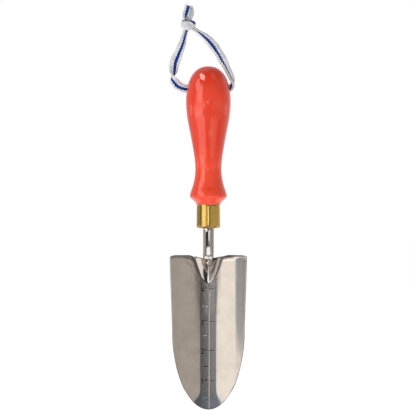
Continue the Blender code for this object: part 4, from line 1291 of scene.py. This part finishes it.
def build_knot_turn():
    """The turn of tape that wraps both strands: a fat roll, tilted down to the right."""
    turns, segs = 132, 44
    turn = around(turns)                              # 0 faces right, -90 degrees the front
    a, q = turn[:, None], around(segs)[None, :]       # round the knot, round the roll
    cos_q, sin_q = np.cos(q), np.sin(q)
    roll_r = (2.15 + 0.22 * np.sin(3 * a + 0.8) + 0.12 * np.sin(7 * a)) * MM
    roll_z = (4.25 + 0.25 * np.sin(2 * a + 0.5) + 0.15 * np.sin(5 * a + 1)
              - 0.55 * np.abs(np.cos(a)) ** 3) * MM
    wave = np.sin(2 * q + 2 * a + 0.7)
    relief = 0.26 * MM * wave + 0.14 * MM * np.sin(5 * q - 3 * a) \
        + 0.045 * MM * np.sin(2 * pi * (a * 32 / (2 * pi)
                                        + 0.5 * np.abs(((q * 2.2) % 1.0) - 0.5)))
    swell = signed_power(cos_q, 0.85) * roll_r + relief * cos_q
    x, y = np.cos(a) * (3.55 * MM + swell), np.sin(a) * (2.75 * MM + swell)
    z = signed_power(sin_q, 0.92) * roll_z + relief * sin_q + 0.55 * MM * np.sin(a + 0.5)
    tilt = radians(-13.0)
    points = np.stack([KNOT_X + x * cos(tilt) - z * sin(tilt), y,
                       KNOT_Z + x * sin(tilt) + z * cos(tilt)], -1)
    index = np.arange(turns * segs).reshape(turns, segs)
    after = np.roll(index, -1, 0)
    faces = zip(index.ravel(), after.ravel(), np.roll(after, -1, 1).ravel(),
                np.roll(index, -1, 1).ravel())
    mesh = make_mesh("knot_turn", points, faces)
    outward(mesh)
    # the stripe runs along the top of the roll's front: thin on the left, thick on the
    # right, hidden between the tails
    stripe_q = 76.0 - 30.0 * np.abs(np.cos(a)) ** 1.3
    degrees = signed_degrees(turn)
    shown = 0.75 + 0.55 * ease((degrees + 100) / 50)
    shown = shown * (1 - ease(1 - np.abs(degrees + 98) / 10.0))
    # painted shade in the roll's folds
    add_attributes(mesh, across=STRIPE_AT + (signed_degrees(q) - stripe_q) / 62.0,
                   along=np.repeat(turn * 5.4 * MM, segs), stripe=np.repeat(shown, segs),
                   crease=0.28 * np.sqrt(np.maximum(0.0, -1.2 - wave * 2.0)))
    smooth(mesh, 70)
    attach(make_object("knot_turn", mesh, TAPE), "cord_loop", "braid")


def build_knot_core():
    """Lump of gathered tape inside the roll."""
    bm = bmesh.new()
    bmesh.ops.create_icosphere(bm, subdivisions=5, radius=1.0)
    for vert in bm.verts:
        p = vert.co.copy()
        lump = 1 + 0.10 * noise.noise(p * 2.3) + 0.05 * sin(9 * atan2(p.y, p.x) + 3 * p.z)
        vert.co = Vector((KNOT_X + 3.5 * MM * p.x * lump, 2.7 * MM * p.y * lump,
                          KNOT_Z + 4.3 * MM * p.z * lump))
    mesh = bpy.data.meshes.new("knot_core")
    bm.to_mesh(mesh)
    bm.free()
    points = np.array([vert.co for vert in mesh.vertices])
    add_attributes(mesh, across=(points[:, 0] - KNOT_X) / TAPE_HALF * 0.9 - 0.9,
                   along=points[:, 2], stripe=np.zeros(len(points)))
    smooth(mesh, 70)
    attach(make_object("knot_core", mesh, TAPE), "cord_loop", "braid")


def fibre_mesh(name, lines, radius):
    """Loose cotton fibres: thin tapering tubes."""
    verts, faces = [], []
    first, segs = 0, 5
    turn = around(segs)
    for points in lines:
        centres = spline_table(points, 0.5 * MM)
        ahead = tangents(centres)
        side = unit(np.cross(ahead, np.array([0.3, 0.9, 0.2])))
        r = radius * np.linspace(1.0, 0.45, len(centres))[:, None]
        rings = section_rings(centres, side, np.cross(ahead, side),
                              r * np.cos(turn), r * np.sin(turn))
        verts += [rings.reshape(-1, 3), centres[:1], centres[-1:]]
        faces += tube_faces(len(centres), segs, first)
        first += len(centres) * segs + 2
    mesh = make_mesh(name, np.vstack(verts), faces)
    outward(mesh)
    mesh.shade_smooth()
    attach(make_object(name, mesh, FIBRE), "cord_loop", "braid")


def build_fibres(centres, side, face):
    """Frayed fibres on both cut ends, and one loose thread."""
    lines = []
    for end, half in ((0, 2.6 * MM), (-1, 2.2 * MM)):
        for _ in range(34):
            across, deep = rng.uniform(-1, 1), rng.uniform(-0.6, 0.6)
            base = centres[end] + side[end] * across * half + face[end] * deep * MM \
                + np.array([0, 0, -0.5 * MM])
            up = np.array([rng.normal(0, 0.30), rng.normal(0, 0.28), 1.0])
            length = rng.uniform(0.7, 1.7) * MM
            bend = np.array([rng.normal(0, 0.35), rng.normal(0, 0.3), 0]) * MM
            lines.append([base, base + up * 0.5 * length, base + up * length + bend])
    fibre_mesh("cord_end_fibres", lines, 0.085 * MM)
    thread = np.array([(-17.6, -1.4, 333.4), (-18.0, -1.6, 335.0), (-18.3, -1.7, 336.2),
                       (-17.6, -1.6, 337.4), (-16.9, -1.5, 338.6)]) * MM
    fibre_mesh("cord_loose_thread", [thread], 0.20 * MM)


tape_frame = build_tape()
build_knot_turn()
build_knot_core()
build_fibres(*tape_frame)


# ============================================================== floor, camera
def build_floor():
    """White floor just under the tip, lit a little from within."""
    mesh = make_mesh("floor", [(-3, -3, 0), (3, -3, 0), (3, 3, 0), (-3, 3, 0)], [(0, 1, 2, 3)])
    material, tree, place = new_material("floor_white")
    tree.surface({'Base Color': tree.mix(tree.noise(place, 3.0), 0.90, 0.94),
                  'Roughness': 0.9, 'Emission Color': 1.0, 'Emission Strength': 0.78})
    floor = make_object("floor", mesh, material)
    floor.location = (0, 0, -0.0006)
    floor.visible_glossy = False


def build_camera():
    """Long lens, level, from the front."""
    data = bpy.data.cameras.new("camera")
    data.lens = 209.2
    data.sensor_width = 36.0
    data.clip_end = 50.0
    camera = make_object("camera", data)
    camera.location = (-0.00033, -2.0, 0.1675)
    camera.rotation_euler = (pi / 2, 0, 0)
    bpy.context.scene.camera = camera
    bpy.context.scene.view_settings.view_transform = 'Standard'


build_floor()
build_camera()


# ============================================================ studio lighting
def area_light(name, location, size, power):
    """Rectangular light aimed at the trowel's middle, unseen by camera and mirrors."""
    data = bpy.data.lights.new(name, 'AREA')
    data.shape = 'RECTANGLE'
    data.size, data.size_y = size
    data.energy = power
    light = make_object(name, data)
    light.location = location
    aim = Vector((0, 0, 0.17)) - Vector(location)
    light.rotation_euler = aim.to_track_quat('-Z', 'Y').to_euler()
    light.visible_glossy = False
    light.visible_camera = False


area_light("key", location=(-1.40, -1.45, 0.20), size=(0.9, 1.3), power=20.8)
area_light("fill", location=(1.2, -1.1, 0.0), size=(0.8, 1.0), power=2.6)

# The room by azimuth in degrees, 0 towards the camera and positive to the right.
# At eye level: card on the right, dark gap and pale wall on the left
EYE_LEVEL = (
    (-180, .70), (-125, .34), (-93, .30), (-75, .45), (-22, (0.45, 0.455, 0.46)),
    (-9, (0.35, 0.355, 0.365)), (-3, (0.29, 0.295, 0.305)), (2, (0.20, 0.20, 0.21)),
    (8, (0.15, 0.15, 0.155)), (15.5, .15), (17.5, (0.55, 0.49, 0.43)),
    (60, (0.56, 0.50, 0.44)), (88, (0.50, 0.45, 0.40)), (112, .42), (140, .70), (180, .80))
BELOW = (
    (-180, .95), (-124, .75), (-97, .40), (-92, (0.44, 0.36, 0.28)), (-72, (0.52, 0.44, 0.36)),
    (-24, (0.60, 0.55, 0.50)), (-20, (0.13, 0.115, 0.10)), (-10, (0.14, 0.125, 0.11)),
    (6, (0.13, 0.115, 0.10)), (13, (0.12, 0.105, 0.09)), (17, (0.72, 0.65, 0.57)),
    (48, (0.66, 0.60, 0.53)), (60, (0.16, 0.125, 0.098)), (86, (0.15, 0.118, 0.092)),
    (95, (0.60, 0.56, 0.50)), (120, .75), (180, .95))
ABOVE = (
    (-180, .45), (-110, .40), (-70, .22), (-60, .12), (-40, .06), (20, .08), (42, .10),
    (60, (0.22, 0.20, 0.18)), (75, (0.16, 0.14, 0.12)), (110, .22), (180, .45))
CREAM, BRIGHT_CREAM = (1.26, 1.155, 1.05), (1.85, 1.70, 1.55)
LEVEL = (-1.12, -1.02)            # elevations over which the upper pan's view ends


def eye_level_room(tree, turn, azimuth, elevation, enamel):
    room = tree.palette(turn, EYE_LEVEL)
    # the enamel, above and below the blade's angles, sees a darker, even card
    room = tree.mix(enamel * azimuth.between(-31.0, 92.0, 3.0), room, (0.30, 0.285, 0.27))
    # dark gap on the left, only at eye level
    gap = azimuth.between(-91.0, -76.0, 1.0) * elevation.rise(-1.0, -0.6)
    room = tree.mix(gap, room, 0.15)
    # the centre is darker and bluer when seen from lower down the blade
    dip = azimuth.between(-19.0, 16.0, 1.5) * elevation.fall(-5.6, -3.4)
    room = tree.mix(dip * 0.75, room, (0.155, 0.17, 0.185))
    # facing the upper pan: the dark centre is wider and browner
    upper = elevation.rise(-2.5, -1.5) * elevation.fall(*LEVEL)
    reach = elevation.ramp(-3.1, -1.4, 0.0, 17.0) + 18.0 + elevation.ramp(-1.45, -1.2, 0.0, 9.0)
    shade = (azimuth - reach).fall(-1.2, 1.2) * azimuth.rise(12.0, 15.0)
    room = tree.mix(shade * elevation.fall(*LEVEL), room, (0.15, 0.145, 0.14))
    brown = tree.mix(azimuth.rise(-24.0, 6.0), (0.28, 0.245, 0.21), (0.115, 0.098, 0.082))
    brown = tree.mix(azimuth.rise(29.0, 36.0), brown, (0.30, 0.26, 0.22))
    wide = azimuth.rise(-36.0, -32.0) * (azimuth - reach).fall(-1.2, 1.2)
    room = tree.mix(upper * wide, room, brown)
    # light from both sides on the sheet's cut edges
    rims = azimuth.between(95.0, 113.0, 1.5) + azimuth.between(-113.0, -95.0, 1.5)
    return tree.mix(rims * elevation.between(-5.6, -1.05, 0.1), room, 0.95)


def add_soft_box(tree, studio, azimuth, elevation, enamel):
    """Big soft box on the left; its far edge slants."""
    slant = elevation.fall(-3.75, -3.0) * -14.0
    slant = slant * elevation.ramp(-16.0, -13.0, 0.25, 1.0)
    slant = slant + elevation.rise(12.0, 26.0) * -18.0
    far = azimuth - (slant + -62.5)
    # its near edge steps with elevation, and lies further left for the enamel
    inset = elevation.ramp(-3.0, -1.4, 0.0, 1.0, smooth=False) ** 1.6
    inset = inset * elevation.fall(*LEVEL)
    near = inset * -16.0 + tree.mix_value(elevation.rise(*LEVEL), -15.5, -19.6)
    near = tree.mix_value(enamel * elevation.rise(-13.6, -12.4), near, -31.0)
    near = azimuth - tree.mix_value(elevation.rise(-15.0, -13.0), -19.6, near)
    box = far.rise(-1.0, 1.0) * near.fall(-1.2, 1.2)
    # the top drops away to the left
    top = elevation + azimuth.ramp(-66.0, -44.0, -13.0, 0.0, smooth=False)
    box = box * (top.fall(26.5, 29.0) * elevation.rise(-26.5, -25.0))
    strong = enamel * elevation.rise(-13.6, -12.4)
    return tree.mix(box, studio, tree.mix(strong, CREAM, BRIGHT_CREAM))


def add_cards_and_lamps(tree, studio, direction, azimuth, elevation):
    x, y, z = direction
    # dark floor edge below the soft box, as the neck and the fold see it
    dark = azimuth.between(-66.0, 1.0, 2.0) * elevation.fall(-26.6, -25.2)
    studio = tree.mix(dark, studio, 0.045)
    # tall strip light by the camera, in two parts
    strip = azimuth.between(-9.0, 5.0, 0.8) * elevation.rise(-1.6, -0.4)
    studio = tree.mix(strip * elevation.fall(1.6, 2.8), studio, 1.80)
    low_strip = azimuth.between(2.0, 31.0, 1.5) * elevation.between(-41.0, -21.0, 1.5)
    studio = tree.mix(low_strip, studio, 1.45)
    # the neck's right side sees a lighter card
    card = azimuth.between(27.0, 96.0, 2.0) * elevation.fall(-29.5, -27.5)
    studio = tree.mix(card, studio, (0.43, 0.41, 0.385))
    # bright patch low in front, with a dark band along its upper edge
    depth = 1.0 - y
    across = x / depth
    lean = z / depth / (across * across + 1.0) ** 0.5
    steep = across.between(-0.62, 0.62, 0.05) * lean.fall(-0.394, -0.380)
    steep = steep * lean.rise(-0.50, -0.46)
    before = across.between(-0.45, 0.28, 0.05) * lean.between(-0.385, -0.350, 0.004)
    studio = tree.mix(before, studio, 0.06)
    studio = tree.mix(steep, studio, 1.4)
    # table far below, with a bright spot
    studio = tree.mix(elevation.fall(-62.0, -54.0), studio, 0.42)
    spot = x.between(-0.11, 0.10, 0.01) * y.between(0.105, 0.170, 0.008)
    studio = tree.mix(spot * elevation.fall(-70.0, -65.0), studio, 5.5)
    # small square lamp, high on the left
    lamp = x.between(-0.625, -0.315, 0.012) * elevation.between(43.0, 61.0, 1.0)
    return tree.mix(lamp * azimuth.rise(-94.0, -90.0), studio, (5.2, 4.9, 4.6))


def build_world():
    """White sweep for the camera, even light for matt surfaces, and a studio of cards and
    soft boxes, placed by direction, for what the polished metal mirrors."""
    world = bpy.data.worlds.new("studio")
    bpy.context.scene.world = world
    world.use_nodes = True
    nodes = world.node_tree.nodes
    nodes.clear()
    tree = Tree(world.node_tree)
    direction = tree.xyz(tree.add('TexCoord', {}, 'Generated'))
    x, y, z = direction
    azimuth = tree.math('ARCTAN2', x, y * -1.0) * (180 / pi)
    elevation = tree.math('ARCSINE', z) * (180 / pi)
    turn = azimuth / 360.0 + 0.5
    enamel = 1.0 - elevation.between(-6.5, 1.6, 0.5)
    room = eye_level_room(tree, turn, azimuth, elevation, enamel)
    below = tree.palette(turn, BELOW)
    above = tree.palette(turn, ABOVE)
    studio = tree.mix(elevation.rise(-16.5, -13.5), below, room)
    glow = azimuth.between(28.0, 64.0, 2.0) * elevation.between(45.0, 78.0, 1.5)
    above = tree.mix(glow, above, (0.44, 0.41, 0.38))
    studio = tree.mix(elevation.rise(34.0, 37.0), studio, above)
    studio = add_soft_box(tree, studio, azimuth, elevation, enamel)
    studio = add_cards_and_lamps(tree, studio, direction, azimuth, elevation)

    glossy_ray = tree.add('LightPath', {}, 'Is Glossy Ray')
    camera_ray = Signal(tree, glossy_ray.socket.node.outputs['Is Camera Ray'])
    mirrored = tree.add('Background', {0: studio})
    even = tree.add('Background', {0: (1.0, 0.99, 0.98), 1: 0.30})
    sweep = tree.add('Background', {0: 1.0, 1: 1.0})
    lit = tree.add('MixShader', {0: glossy_ray, 1: even, 2: mirrored})
    seen = tree.add('MixShader', {0: camera_ray, 1: lit, 2: sweep})
    tree.put(nodes.new('ShaderNodeOutputWorld').inputs[0], seen)


build_world()
